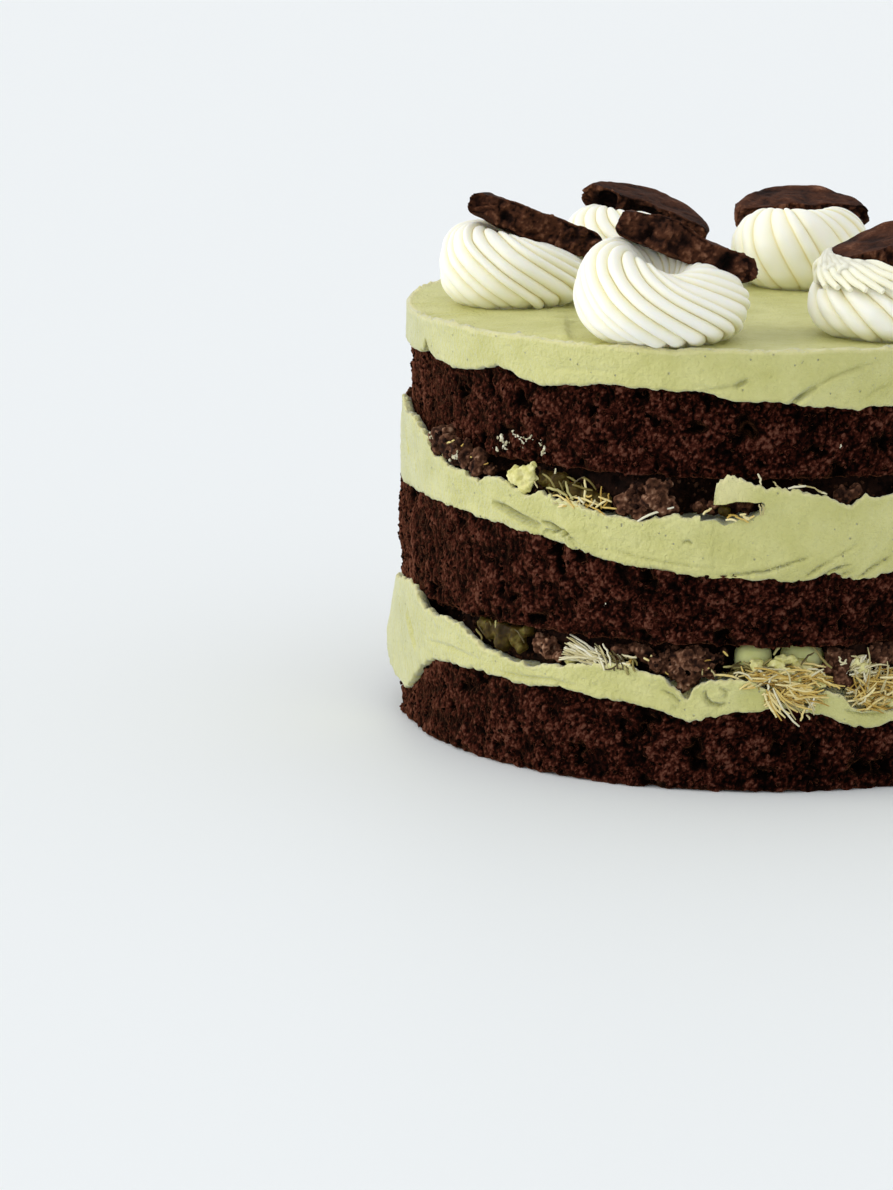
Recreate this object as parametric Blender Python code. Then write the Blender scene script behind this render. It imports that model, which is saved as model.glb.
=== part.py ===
"""A six-inch layer cake, built up from its base in the order it is assembled.

Three chocolate sponges are stacked with two pistachio cream fillings. Each filling is a dished disc of
cream that holds a crunchy heap of pastry strands and biscuit crumble, with a few smooth dollops of cream
at its edge. A disc of the same cream ices the top, and six piped swirls stand on it in a ring, each with
half a chocolate biscuit pressed into it. Metres, +Z up; the origin is the middle of the flat base.

Angles go round the cake in degrees: 0 faces -Y and 90 faces +X. Sizes are named in millimetres.
"""
import math

import bmesh
import bpy
import numpy as np
from mathutils import Euler, Matrix, Vector

MM = 0.001
GAP = 0.3                     # air kept between two pieces that touch
HEAP_GAP = 1.1                # air kept under a heap, whose foot follows an uneven slope
STEPS = 60                    # steps round every layer
SMOOTH_ANGLE = 35             # edges sharper than this stay crisp, degrees

# The stack: heights of the flat inner part of each layer.
BOTTOM_SPONGE_TOP = 19.0
LOWER_CREAM_FLOOR = 22.6
MIDDLE_SPONGE_BASE = 31.0
MIDDLE_SPONGE_TOP = 49.0
UPPER_CREAM_FLOOR = 56.4
TOP_SPONGE_BASE = 65.5
TOP_SPONGE_TOP = 83.4
ICING_TOP = 92.1

# Outer radii of the layers, and the radius inside which they are flat.
BOTTOM_SPONGE_RADIUS = 75.8
LOWER_CREAM_RADIUS = 77.0
MIDDLE_SPONGE_RADIUS = 76.1
UPPER_CREAM_RADIUS = 75.9
TOP_SPONGE_RADIUS = 73.7
ICING_RADIUS = 75.0
ICING_ROUND = 0.6             # its upper corner
FLAT_RADIUS = 66.0
CRUNCH_FLAT_RADIUS = 58.0
CREAM_RIM = 4.0               # width of the standing rim round each dished cream
RIM_DROP = 0.4                # how far its inner edge lies below its outer one
RIM_ROUND = 0.8               # how far its upper corner is worn back
LIP = 0.4                     # how far back the lower lip of a cream starts
LIP_RISE = 0.2                # and how far above the edge of the sponge
CORNER_IN, CORNER_UP = 2.0, 1.8   # the rounded lower corner of a sponge
CORNER_BULGE = 0.3            # how far inside the full radius that corner ends
BELLY = 0.2                   # how far the middle of a sponge's wall stands out

# Edges that show at the side, as (angle, height).
BOTTOM_SPONGE_EDGE = [
    (-165, 18), (-150, 16.5), (-130, 19), (-110, 18), (-95, 15.5), (-86, 13), (-78, 9.5), (-73, 12),
    (-69, 16), (-60, 19), (-50, 19.5), (-41, 18.8), (-35, 19.5), (-25, 18.3), (-17, 17), (-12, 15),
    (-7, 16.5), (0, 18), (6, 17.3), (12, 14.2), (18, 13.4), (26, 16.5), (40, 18.5), (60, 17),
    (75, 19), (95, 18), (110, 15.5), (122, 17.5), (140, 19), (160, 17),
]
LOWER_CREAM_EDGE = [
    (-165, 24), (-150, 27), (-130, 25.5), (-115, 28), (-100, 29.5), (-80, 30.4), (-70, 30), (-60, 28.5),
    (-55, 28.5), (-48, 24.5), (-42, 23.5), (-35, 24), (-22, 26.5), (-15, 23), (-12, 21), (-8, 24.3),
    (-3, 24), (3, 20.5), (8, 21.8), (12, 20.5), (18, 17.5), (26, 21), (40, 25), (55, 27.5), (70, 24),
    (85, 26.5), (100, 25), (112, 20.5), (128, 22), (145, 27), (160, 28.5), (175, 25),
]
MIDDLE_SPONGE_EDGE = [
    (-160, 47), (-140, 49.5), (-120, 48), (-100, 51), (-80, 52.5), (-60, 53), (-45, 52), (-35, 50),
    (-25, 47.7), (-15, 45.9), (-5, 45.5), (2, 44.4), (8, 45.5), (14, 44.7), (20, 46), (35, 48.5),
    (55, 47), (75, 49.5), (95, 51), (115, 49), (135, 46.5), (150, 45.5), (170, 48),
]
UPPER_CREAM_EDGE = [
    (-165, 58), (-145, 60.5), (-125, 58.5), (-105, 62), (-88, 64.8), (-72, 65), (-65, 63.5), (-52, 60.2),
    (-45, 61.8), (-36, 60), (-28, 57.7), (-20, 56.6), (-10, 57.8), (-8.5, 64.5), (-4, 65), (3, 63.8),
    (10, 61.5), (12, 60.2), (15, 62), (25, 62.5), (40, 60), (60, 58), (80, 61.5), (100, 63.5),
    (120, 60), (140, 57.5), (160, 59.5), (180, 61),
]
ICING_EDGE = [
    (-160, 84), (-140, 82.8), (-120, 84.4), (-100, 83.5), (-75, 83.5), (-70, 86.8), (-65, 83.3),
    (-55, 83.2), (-48, 85.2), (-38, 82.4), (-28, 84), (-12, 83.6), (-5, 81.8), (5, 80.8), (14, 79.5),
    (20, 80), (35, 82), (50, 83.5), (65, 82.4), (80, 84), (95, 82), (110, 83.6), (125, 81.2),
    (140, 83), (170, 82),
]
# Where the lower cream stands out past its usual radius, as (angle, by how much).
LOWER_CREAM_BULGE = [(-140, 0), (-105, 1.6), (-90, 2.6), (-78, 1.6), (-60, 0), (-10, 0.2), (5, 1.0),
                     (20, 0.6), (60, 0.6), (120, 0)]

# How far out each crunchy heap reaches, as (angle, radius): it falls back where a hollow shows.
LOWER_CRUNCH_OUTLINE = [
    (-150, 71), (-125, 66), (-105, 71), (-75, 71), (-66, 65), (-54, 65), (-44, 70), (-35, 71.5),
    (-20, 70), (-12, 71.5), (-8, 66), (-5, 62), (10, 62), (13, 70.5), (20, 71.5), (40, 70), (55, 66),
    (70, 71.5), (95, 71), (105, 62), (125, 62), (132, 71), (160, 67),
]
UPPER_CRUNCH_OUTLINE = [
    (-160, 66), (-140, 71), (-115, 70), (-75, 70), (-55, 71), (-47, 66), (-38, 70.5), (-22, 71),
    (-18, 71.3), (-14, 65), (-10, 62), (0, 62), (5, 69), (30, 70), (45, 66), (62, 69), (70, 62),
    (82, 62), (90, 70), (120, 71), (135, 66), (150, 71), (175, 69),
]

HEAP_LEAST = 1.0              # least height of a heap at its foot
HEAP_SWELL = 0.5              # how far its wall swells outwards

# The opening torn in the upper cream under a loose tongue: (angles, heights).
TONGUE_OPENING = ((-11.5, -1.5), (57.3, 60.9))
TONGUE_REACH = 2.0            # how far its cutter reaches past the rim on both sides

# Smooth dollops of cream in the fillings: (band, angle, width).
DOLLOPS = [("lower", -2.2, 8.0), ("lower", 6.2, 9.2), ("lower", 112.0, 9.0), ("lower", 119.5, 7.6),
           ("upper", 76.0, 8.8)]
DOLLOP_RADIUS = 68.4          # how far out their middles lie
DOLLOP_LIFT = {"lower": 1.6, "upper": 2.6}   # how far their feet stand above the cream's floor
DOLLOP_FLATNESS = 0.35        # size of their flat ends, as a share of the width
DOLLOP_DEPTH = 7.4
DOLLOP_RINGS = 5
DOLLOP_SIDES = 10

# The piped swirls: (x, y, width, height, lean, turn). The lean is (angle it is higher at, by how much).
SWIRLS = [
    (-50.7, -5.0, 34.0, 16.2, (-70, 1.6), 10.0),
    (-21.8, -58.0, 36.3, 18.2, (-130, 3.2), 0.0),
    (-22.8, 30.0, 33.0, 17.2, (-90, 1.2), 25.0),
    (14.8, 25.0, 30.0, 18.2, (0, 0.8), 40.0),
    (27.0, -51.0, 36.5, 17.0, (120, 1.8), 55.0),
    (44.5, -4.0, 34.5, 17.0, (60, 1.5), 70.0),
]
SWIRL_RIDGES = 20
SWIRL_RIDGE_DEPTH = 0.075     # depth of a groove, as a share of the radius
SWIRL_TWIST = 66.0            # how far a ridge turns from the crown to the base, degrees
# Its outline as (share of the half width, share of the height), base to the dimple on top.
SWIRL_OUTLINE = [(0.72, 0.0), (0.96, 0.2), (1.0, 0.5), (0.82, 0.83), (0.46, 1.0), (0.14, 0.8)]

# The half biscuits, one for each swirl: offset of the middle of the broken edge from the swirl's
# middle (x, y), its height above the icing, and its turn (about X, Y and Z, degrees).
BISCUITS = [
    ((4.1, -5.0), 17.7, (-5.0, 20.4, 0.0)),
    ((5.0, 1.0), 18.6, (-3.0, 22.4, 0.0)),
    ((2.2, 1.0), 14.8, (5.0, 18.5, -14.0)),
    ((0.2, 6.5), 14.6, (12.0, -4.0, 12.0)),
    ((-0.6, -3.0), 17.8, (11.0, -17.5, 0.0)),
    ((-1.5, 0.0), 16.0, (4.0, 17.0, -72.0)),
]
BISCUIT_RADIUS = 15.3
BISCUIT_THICKNESS = 5.6
BISCUIT_ARC_STEPS = 10
BISCUIT_EDGE_BEVEL = 0.9
BEVEL_ANGLE = 60              # only edges sharper than this are worn
BREAK_TEETH = [0.5, -0.7, 0.9, -0.4, 0.6]   # unevenness of the broken edge
SEAT_HEIGHT = 30.0            # the seat pressed in a swirl is open this far above the biscuit,
SEAT_MARGIN = 3.0             # this far behind its round edge
SEAT_FRONT = 1.0              # and this far in front of its broken one

# Finishes as (sRGB colour, roughness).
SPONGE = ("3A1F17", 0.95)
CREAM = ("CFCD8E", 0.5)
CRUNCH = ("8A6A3C", 0.9)
DOLLOP = ("B9BC7C", 0.4)
SWIRL = ("F2EFD4", 0.45)
BISCUIT = ("4B2F22", 0.85)


def linear(code):
    """The linear colour of an sRGB hex code."""
    parts = [int(code[i:i + 2], 16) / 255 for i in (0, 2, 4)]
    return [c / 12.92 if c <= 0.04045 else ((c + 0.055) / 1.055) ** 2.4 for c in parts] + [1.0]


def finish(name, code, roughness):
    """A Principled material of its own for one piece."""
    material = bpy.data.materials.new(name)
    material.use_nodes = True
    shader = material.node_tree.nodes["Principled BSDF"]
    shader.inputs["Base Color"].default_value = linear(code)
    shader.inputs["Roughness"].default_value = roughness
    shader.inputs["Metallic"].default_value = 0.0
    material.diffuse_color = linear(code)
    return material


def place(name, mesh, look):
    """An object that shows a mesh, with its own material."""
    thing = bpy.data.objects.new(name, mesh)
    bpy.context.scene.collection.objects.link(thing)
    if look:
        mesh.materials.append(finish(name, *look))
    return thing


def around(points):
    """The value at an angle, by straight steps between the points, closed round the circle."""
    angles, values = zip(*points)
    return lambda angle: float(np.interp(angle, angles, values, period=360))


def on_circle(radius, angle, height=0.0):
    """A point in metres at an angle round the cake's axis."""
    turn = math.radians(angle)
    return Vector((radius * math.sin(turn), -radius * math.cos(turn), height)) * MM


def stacked(rings, steps, point):
    """A closed mesh through rings, from the underside out, up and in over the top. The first and the
    last ring are flat and filled; point(ring, step) gives each corner. Every band is split the same
    way, from its outer ring to its inner one, so that two layers that touch stay parallel."""
    mesh = bpy.data.meshes.new("layer")
    work = bmesh.new()
    loops = [[work.verts.new(point(ring, step)) for step in range(steps)] for ring in rings]
    for first, second in zip(loops, loops[1:]):
        outward = first[0].co.xy.length < second[0].co.xy.length
        inner, outer = (first, second) if outward else (second, first)
        for step in range(steps):
            after = (step + 1) % steps
            work.faces.new((inner[step], inner[after], outer[step]))
            work.faces.new((inner[after], outer[after], outer[step]))
    work.faces.new(list(reversed(loops[0])))
    work.faces.new(loops[-1])
    bmesh.ops.recalc_face_normals(work, faces=work.faces)
    work.to_mesh(mesh)
    work.free()
    return mesh


def layer(name, rings, look):
    """One layer of the cake. Each ring is a function of the angle that gives (radius, height)."""
    def point(ring, step):
        angle = step * 360 / STEPS - 180
        radius, height = ring(angle)
        return on_circle(radius, angle, height)
    thing = place(name, stacked(rings, STEPS, point), look)
    thing.data.shade_smooth()
    thing.data.set_sharp_from_angle(angle=math.radians(SMOOTH_ANGLE))
    return thing


def fixed(value):
    """The same value at every angle."""
    return lambda angle: value


def flat(radius, height):
    """A level ring of one radius."""
    return lambda angle: (radius, height)


def edge_ring(radius, edge, lift=0.0):
    """A ring that follows an edge line at a fixed radius."""
    return lambda angle: (radius, edge(angle) + lift)


def mid_wall(radius, lower, upper):
    """A ring half way up a wall between two edge lines."""
    return lambda angle: (radius(angle), (lower(angle) + upper(angle)) / 2)


def sponge(name, radius, base, edge, inner_top):
    """A baked disc: a rounded lower corner, a slightly bellied wall and an uneven upper edge."""
    rings = [
        flat(radius - CORNER_IN, base),
        flat(radius - CORNER_BULGE, base + CORNER_UP),
        mid_wall(fixed(radius + BELLY), fixed(base), edge),
        edge_ring(radius - BELLY, edge, -GAP),
        flat(FLAT_RADIUS, inner_top - GAP),
    ]
    return layer(name, rings, SPONGE)


def dished_cream(name, radius, under_radius, lower, upper, inner_base, floor):
    """A disc of filling with a torn rim that stands round a lower floor."""
    rings = [
        flat(FLAT_RADIUS, inner_base),
        edge_ring(under_radius - BELLY, lower),
        lambda angle: (radius(angle) - LIP, lower(angle) + LIP_RISE),
        mid_wall(radius, lower, upper),
        lambda angle: (radius(angle) - RIM_ROUND, upper(angle)),
        lambda angle: (radius(angle) - CREAM_RIM, upper(angle) - RIM_DROP),
        flat(FLAT_RADIUS, floor),
    ]
    return layer(name, rings, CREAM)


def crunch(name, outline, radius, cream_edge, floor, top):
    """The heap on a dished cream, level under the sponge above it."""
    def underside(angle):
        """The heap's outer foot, just clear of the cream's slope."""
        out = outline(angle)
        rim = radius(angle) - CREAM_RIM
        share = min(max((out - FLAT_RADIUS) / (rim - FLAT_RADIUS), 0.0), 1.0)
        slope = floor + share * (cream_edge(angle) - RIM_DROP - floor)
        return out, min(max(slope, floor) + HEAP_GAP, top - HEAP_LEAST)

    def waist(angle):
        out, foot = underside(angle)
        return out + HEAP_SWELL, (foot + top) / 2

    rings = [flat(CRUNCH_FLAT_RADIUS, floor + HEAP_GAP), underside, waist,
             lambda angle: (outline(angle) - HEAP_SWELL, top), flat(CRUNCH_FLAT_RADIUS, top)]
    return layer(name, rings, CRUNCH)


def tear_tongue(cream):
    """Cuts the opening under the tongue of torn cream, so that its free end hangs over a gap."""
    (start, end), (low, high) = TONGUE_OPENING
    inner, outer = FLAT_RADIUS - TONGUE_REACH, UPPER_CREAM_RADIUS + TONGUE_REACH
    work = bmesh.new()
    corners = [[work.verts.new(on_circle(radius, angle, height)) for radius, angle in
                ((inner, start), (outer, start), (outer, end), (inner, end))]
               for height in (low, high)]
    for side in range(4):
        after = (side + 1) % 4
        work.faces.new((corners[0][side], corners[0][after], corners[1][after], corners[1][side]))
    work.faces.new(list(reversed(corners[0])))
    work.faces.new(corners[1])
    bmesh.ops.recalc_face_normals(work, faces=work.faces)
    mesh = bpy.data.meshes.new("tongue_opening")
    work.to_mesh(mesh)
    work.free()
    cut(cream, place("tongue_opening", mesh, None))


def cut(thing, cutter):
    """Takes the cutter's shape out of a piece."""
    cutter.hide_render = True
    cutter.display_type = "WIRE"
    boolean = thing.modifiers.new("cut", "BOOLEAN")
    boolean.operation = "DIFFERENCE"
    boolean.solver = "EXACT"
    boolean.object = cutter


def dollop(name, angle, width, base, top):
    """A smooth lump of soft cream, a little flattened above and below."""
    half = (width / 2, DOLLOP_DEPTH / 2, (top - base) / 2)

    def point(ring, step):
        up = math.pi * ring / (DOLLOP_RINGS - 1) - math.pi / 2
        turn = 2 * math.pi * step / DOLLOP_SIDES
        reach = max(math.cos(up), DOLLOP_FLATNESS)
        return Vector((half[0] * reach * math.cos(turn), half[1] * reach * math.sin(turn),
                       half[2] * math.sin(up))) * MM

    mesh = stacked(range(DOLLOP_RINGS), DOLLOP_SIDES, point)
    mesh.transform(Matrix.Translation(on_circle(DOLLOP_RADIUS, angle, (base + top) / 2))
                   @ Matrix.Rotation(math.radians(angle), 4, "Z"))
    mesh.shade_smooth()
    return place(name, mesh, DOLLOP)


def swirl(name, width, height, lean, turn):
    """A star-piped mound. Its ridges twist on the way down, and its top closes in a dimple."""
    steps = SWIRL_RIDGES * 2
    high_side, extra = lean

    def point(ring, step):
        share, rise = SWIRL_OUTLINE[ring]
        groove = SWIRL_RIDGE_DEPTH * (step % 2)
        radius = width / 2 * share * (1 - groove)
        angle = turn + step * 360 / steps + SWIRL_TWIST * (1 - rise)
        tall = height + extra * share * math.cos(math.radians(angle - high_side))
        return on_circle(radius, angle, tall * rise)

    mesh = stacked(range(len(SWIRL_OUTLINE)), steps, point)
    return place(name, mesh, SWIRL)


def half_disc(radius, teeth, low, high):
    """A half disc between two heights. Its straight side faces -Y and follows the teeth."""
    arc = [Vector((radius * math.cos(turn), radius * math.sin(turn), 0)) for turn in
           np.linspace(0, math.pi, BISCUIT_ARC_STEPS + 1)]
    gaps = len(teeth) + 1
    broken = [Vector((-radius + 2 * radius * (i + 1) / gaps, tooth, 0))
              for i, tooth in enumerate(teeth)]
    work = bmesh.new()
    face = work.faces.new([work.verts.new((p + Vector((0, 0, low))) * MM) for p in arc + broken])
    raised = bmesh.ops.extrude_face_region(work, geom=[face])["geom"]
    bmesh.ops.translate(work, vec=Vector((0, 0, high - low)) * MM,
                        verts=[v for v in raised if isinstance(v, bmesh.types.BMVert)])
    bmesh.ops.recalc_face_normals(work, faces=work.faces)
    mesh = bpy.data.meshes.new("half_disc")
    work.to_mesh(mesh)
    work.free()
    return mesh


def biscuit(name, pose):
    """Half a round biscuit with softened edges."""
    half = BISCUIT_THICKNESS / 2
    thing = place(name, half_disc(BISCUIT_RADIUS, BREAK_TEETH, -half, half), BISCUIT)
    thing.matrix_world = pose
    bevel = thing.modifiers.new("worn edges", "BEVEL")
    bevel.width = BISCUIT_EDGE_BEVEL * MM
    bevel.segments = 1
    bevel.limit_method = "ANGLE"
    bevel.angle_limit = math.radians(BEVEL_ANGLE)
    return thing


def press_biscuit(piped, name, pose):
    """Opens a seat in a swirl, a gap wider than the biscuit and open above it."""
    floor = -BISCUIT_THICKNESS / 2 - GAP
    seat = place(name, half_disc(BISCUIT_RADIUS + SEAT_MARGIN, [], floor, SEAT_HEIGHT), None)
    seat.matrix_world = pose @ Matrix.Translation(Vector((0, -SEAT_FRONT, 0)) * MM)
    cut(piped, seat)


def build_layers():
    """The stack from the base up."""
    bottom_edge, middle_edge, icing_edge = map(
        around, (BOTTOM_SPONGE_EDGE, MIDDLE_SPONGE_EDGE, ICING_EDGE))
    lower_edge, upper_edge = around(LOWER_CREAM_EDGE), around(UPPER_CREAM_EDGE)
    lower_radius = around([(angle, LOWER_CREAM_RADIUS + out) for angle, out in LOWER_CREAM_BULGE])
    upper_radius = fixed(UPPER_CREAM_RADIUS)

    sponge("sponge_bottom", BOTTOM_SPONGE_RADIUS, 0.0, bottom_edge, BOTTOM_SPONGE_TOP)
    dished_cream("cream_lower", lower_radius, BOTTOM_SPONGE_RADIUS, bottom_edge, lower_edge,
                 BOTTOM_SPONGE_TOP, LOWER_CREAM_FLOOR)
    crunch("crunch_lower", around(LOWER_CRUNCH_OUTLINE), lower_radius, lower_edge,
           LOWER_CREAM_FLOOR, MIDDLE_SPONGE_BASE - GAP)

    sponge("sponge_middle", MIDDLE_SPONGE_RADIUS, MIDDLE_SPONGE_BASE, middle_edge, MIDDLE_SPONGE_TOP)
    cream = dished_cream("cream_upper", upper_radius, MIDDLE_SPONGE_RADIUS, middle_edge, upper_edge,
                         MIDDLE_SPONGE_TOP, UPPER_CREAM_FLOOR)
    tear_tongue(cream)
    crunch("crunch_upper", around(UPPER_CRUNCH_OUTLINE), upper_radius, upper_edge,
           UPPER_CREAM_FLOOR, TOP_SPONGE_BASE - GAP)

    sponge("sponge_top", TOP_SPONGE_RADIUS, TOP_SPONGE_BASE, icing_edge, TOP_SPONGE_TOP)
    rings = [
        flat(FLAT_RADIUS, TOP_SPONGE_TOP),
        edge_ring(TOP_SPONGE_RADIUS - BELLY, icing_edge),
        edge_ring(ICING_RADIUS - LIP, icing_edge, LIP_RISE),
        mid_wall(fixed(ICING_RADIUS), icing_edge, fixed(ICING_TOP)),
        flat(ICING_RADIUS, ICING_TOP - ICING_ROUND),
        flat(ICING_RADIUS - ICING_ROUND, ICING_TOP),
    ]
    layer("icing_top", rings, CREAM)


def build_dollops():
    """The smooth lumps of cream at the edge of the fillings."""
    bands = {"lower": (LOWER_CREAM_FLOOR, MIDDLE_SPONGE_BASE),
             "upper": (UPPER_CREAM_FLOOR, TOP_SPONGE_BASE)}
    for number, (band, angle, width) in enumerate(DOLLOPS, 1):
        floor, ceiling = bands[band]
        dollop(f"dollop_{number}", angle, width, floor + DOLLOP_LIFT[band], ceiling - GAP)


def build_top():
    """The swirls on the icing, each with its half biscuit."""
    base = ICING_TOP + GAP
    for number, (spot, tilt) in enumerate(zip(SWIRLS, BISCUITS), 1):
        x, y, *form = spot
        (off_x, off_y), height, turns = tilt
        piped = swirl(f"swirl_{number}", *form)
        piped.location = Vector((x, y, base)) * MM
        rotation = Euler([math.radians(angle) for angle in turns]).to_matrix().to_4x4()
        middle = Vector((x + off_x, y + off_y, ICING_TOP + height)) * MM
        pose = Matrix.Translation(middle) @ rotation
        biscuit(f"biscuit_{number}", pose)
        press_biscuit(piped, f"seat_{number}", pose)


for leftover in list(bpy.data.objects):
    bpy.data.objects.remove(leftover)
build_layers()
build_dollops()
build_top()
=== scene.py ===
import math
from itertools import product

import bmesh
import bpy
import numpy as np
from mathutils import Euler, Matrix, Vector


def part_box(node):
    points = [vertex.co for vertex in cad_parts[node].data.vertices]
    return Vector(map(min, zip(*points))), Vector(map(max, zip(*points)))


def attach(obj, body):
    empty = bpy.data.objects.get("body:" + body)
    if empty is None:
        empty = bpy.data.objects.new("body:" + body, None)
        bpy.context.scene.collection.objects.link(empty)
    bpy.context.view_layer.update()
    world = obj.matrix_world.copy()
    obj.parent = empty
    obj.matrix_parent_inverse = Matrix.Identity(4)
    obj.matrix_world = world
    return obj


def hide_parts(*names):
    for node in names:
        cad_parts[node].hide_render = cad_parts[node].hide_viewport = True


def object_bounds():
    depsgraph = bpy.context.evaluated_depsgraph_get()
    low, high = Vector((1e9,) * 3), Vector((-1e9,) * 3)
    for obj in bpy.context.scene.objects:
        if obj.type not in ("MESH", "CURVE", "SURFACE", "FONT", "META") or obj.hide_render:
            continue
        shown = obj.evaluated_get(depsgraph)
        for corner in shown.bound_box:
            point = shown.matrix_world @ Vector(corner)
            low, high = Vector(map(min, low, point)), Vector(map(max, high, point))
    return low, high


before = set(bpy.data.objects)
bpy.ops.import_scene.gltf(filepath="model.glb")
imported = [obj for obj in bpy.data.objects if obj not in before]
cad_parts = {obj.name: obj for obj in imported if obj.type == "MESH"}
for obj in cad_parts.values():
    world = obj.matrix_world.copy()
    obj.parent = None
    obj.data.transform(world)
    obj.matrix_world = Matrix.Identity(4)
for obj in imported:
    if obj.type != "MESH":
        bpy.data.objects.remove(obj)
cad_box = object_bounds()

# Sizes are named in millimetres, and angles go round the cake in degrees: 0 faces -Y, 90 faces +X.
MM = 0.001

# ---- The sponges -------------------------------------------------------------------------------
# Three discs of dark chocolate sponge, baked in a ring and trimmed level. Their sides show the torn
# open crumb: soft grains about a millimetre across with ragged hollows between them.
SPONGE_STEPS, SPONGE_ROWS = 1440, 42
SPONGE_CORNER = 1.0           # radius of the worn lower corner
GRAIN, FINE_GRAIN = 1.05, 0.55
BOTTOM_SPONGE_EDGE = [
    (-165, 18), (-150, 16.5), (-130, 19), (-110, 18), (-95, 14), (-88, 10.4), (-82, 8.0), (-78, 7.6),
    (-75, 9.4), (-70, 14.6), (-65, 18), (-60, 19), (-50, 19.5), (-41, 18.8), (-35, 19.5), (-30, 19),
    (-25, 18.3), (-20, 18), (-17, 17), (-15, 16), (-12, 15), (-7, 16.5), (-5, 17.2), (-3, 16.8),
    (0, 18), (5, 17.5), (7, 17), (10, 15.5), (12, 14.2), (15, 13.6), (18, 13.4), (20, 14.5),
    (26, 16.5), (40, 18.5), (60, 17), (75, 19), (95, 18), (110, 15.5), (122, 17.5), (140, 19),
    (160, 17),
]
MIDDLE_SPONGE_EDGE = [
    (-160, 47), (-140, 49.5), (-120, 48), (-100, 51), (-80, 52.5), (-70, 53), (-60, 53), (-50, 52.5),
    (-45, 52), (-40, 51.3), (-35, 50), (-30, 49), (-25, 47.7), (-20, 46.5), (-15, 45.9), (-10, 45.4),
    (-5, 45.5), (0, 45), (2, 44.3), (5, 44.8), (8, 45.5), (10, 46), (12, 45), (14, 44.6), (18, 45.5),
    (20, 46), (35, 48.5), (55, 47), (75, 49.5), (95, 51), (115, 49), (135, 46.5), (150, 45.5),
    (170, 48),
]
ICING_EDGE = [
    (-160, 84), (-140, 82.8), (-120, 84.4), (-100, 83.5), (-75, 83.5), (-71.5, 84.5), (-70, 87.2),
    (-68.5, 84.4), (-66, 83.5), (-60, 83), (-55, 83.2), (-50, 84.5), (-48, 85.3), (-45, 84.5),
    (-42, 83), (-38, 82.4), (-30, 83.5), (-28, 84), (-20, 83.5), (-12, 83.6), (-8, 82.6), (-6, 82),
    (-3, 81.5), (0, 81.6), (3, 81.3), (5, 80.8), (10, 80.5), (13.7, 79.3), (15, 80), (20, 80),
    (35, 82), (50, 83.5), (65, 82.4), (80, 84), (95, 82), (110, 83.6), (125, 81.2), (140, 83),
    (170, 82),
]
# Larger holes where a cluster of crumbs fell out, as (angle, height, size).
SPONGE_HOLES = [
    (-3.6, 75.6, 2.0), (-5.8, 73.6, 1.6), (-29.4, 78.2, 1.8), (-16.5, 76.3, 1.3), (8.6, 74.4, 1.5),
    (-43.0, 36.8, 1.6), (-44.5, 39.7, 1.4), (-31.9, 38.8, 1.4), (-14.0, 40.2, 1.2), (12.0, 36.0, 1.4),
    (-30.8, 6.6, 1.9), (-58.8, 8.3, 1.5), (-20.0, 12.0, 1.2), (6.0, 9.0, 1.5), (40, 77, 1.8), (75, 38, 1.7),
    (110, 8, 1.9), (150, 76, 1.6), (-150, 38, 1.8), (-110, 9, 1.7), (-95, 75, 1.6), (130, 37, 1.5),
]


def scatter(cells, seed):
    """One fixed random value from -1 to 1 for each cell of a lattice in space."""
    key = cells @ np.array([73856093, 19349663, 83492791]) + (seed + 1) * 40503977
    key = (key ^ (key >> 13)) * 1274126177
    key ^= key >> 16
    return (key & 0xFFFFFF) / 0x7FFFFF - 1.0


def swell(points, size, seed):
    """A smooth random rise and fall from -1 to 1, with one swelling about every size millimetres."""
    cell = points / size
    corner = np.floor(cell).astype(np.int64)
    part = cell - corner
    part = part * part * (3 - 2 * part)
    total = 0.0
    for shift in product((0, 1), repeat=3):
        share = np.prod(np.where(shift, part, 1 - part), axis=-1)
        total = total + share * scatter(corner + np.array(shift), seed)
    return total


def nearest(points, size, seed):
    """Distance to the nearest of many loose spots, one in each cell of a lattice, in cells."""
    cell = points / size
    corner = np.floor(cell).astype(np.int64)
    best = np.full(cell.shape[:-1], 9.0)
    for shift in product((-1, 0, 1), repeat=3):
        near = corner + np.array(shift)
        spot = near + 0.5 + 0.45 * np.stack([scatter(near, seed + k) for k in range(3)], -1)
        best = np.minimum(best, ((spot - cell) ** 2).sum(-1))
    return np.sqrt(best)


def crumb(points, seed):
    """The relief of torn crumb in mm, and how open each spot is to the light, from 0 to 1."""
    bent = points + 0.6 * np.stack([swell(points, 1.2, seed + k) for k in range(3)], -1)
    grain = 0.5 - nearest(bent, GRAIN, seed + 10)
    fine = 0.5 - nearest(bent, FINE_GRAIN, seed + 20)
    lumps = swell(points, 2.7, seed + 5)
    hollow = 0.7 * swell(bent, 2.1, seed + 30) + 0.8 * swell(bent, 4.8, seed + 31)
    hollow = np.clip(hollow - 0.45, 0, 0.6)
    relief = 0.45 * swell(points, 11.0, seed + 6) + 0.5 * lumps + 0.8 * grain + 0.36 * fine
    relief = relief - 3.0 * hollow
    light = 0.55 + 0.26 * lumps + 0.12 * swell(points, 6.0, seed + 32) + 0.9 * grain + 0.5 * fine
    light = light - 2.2 * hollow
    return relief, np.clip(light, 0, 1)


def around(table):
    """The value at an angle, by straight steps between the points of a table, closed round the circle."""
    angles, values = zip(*table)
    return lambda angle: np.interp(angle, angles, values, period=360)


def fallen_out(points):
    """Where the larger holes are, from 0 to 1, with ragged outlines."""
    bent = points + 0.9 * np.stack([swell(points, 1.7, 60 + k) for k in range(3)], -1)
    depth = np.zeros(points.shape[:-1])
    for angle, height, size in SPONGE_HOLES:
        gap = np.linalg.norm(bent - on_circle(74.5, angle, height), axis=-1)
        depth = np.maximum(depth, np.exp(-(gap / size) ** 4))
    return depth


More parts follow.
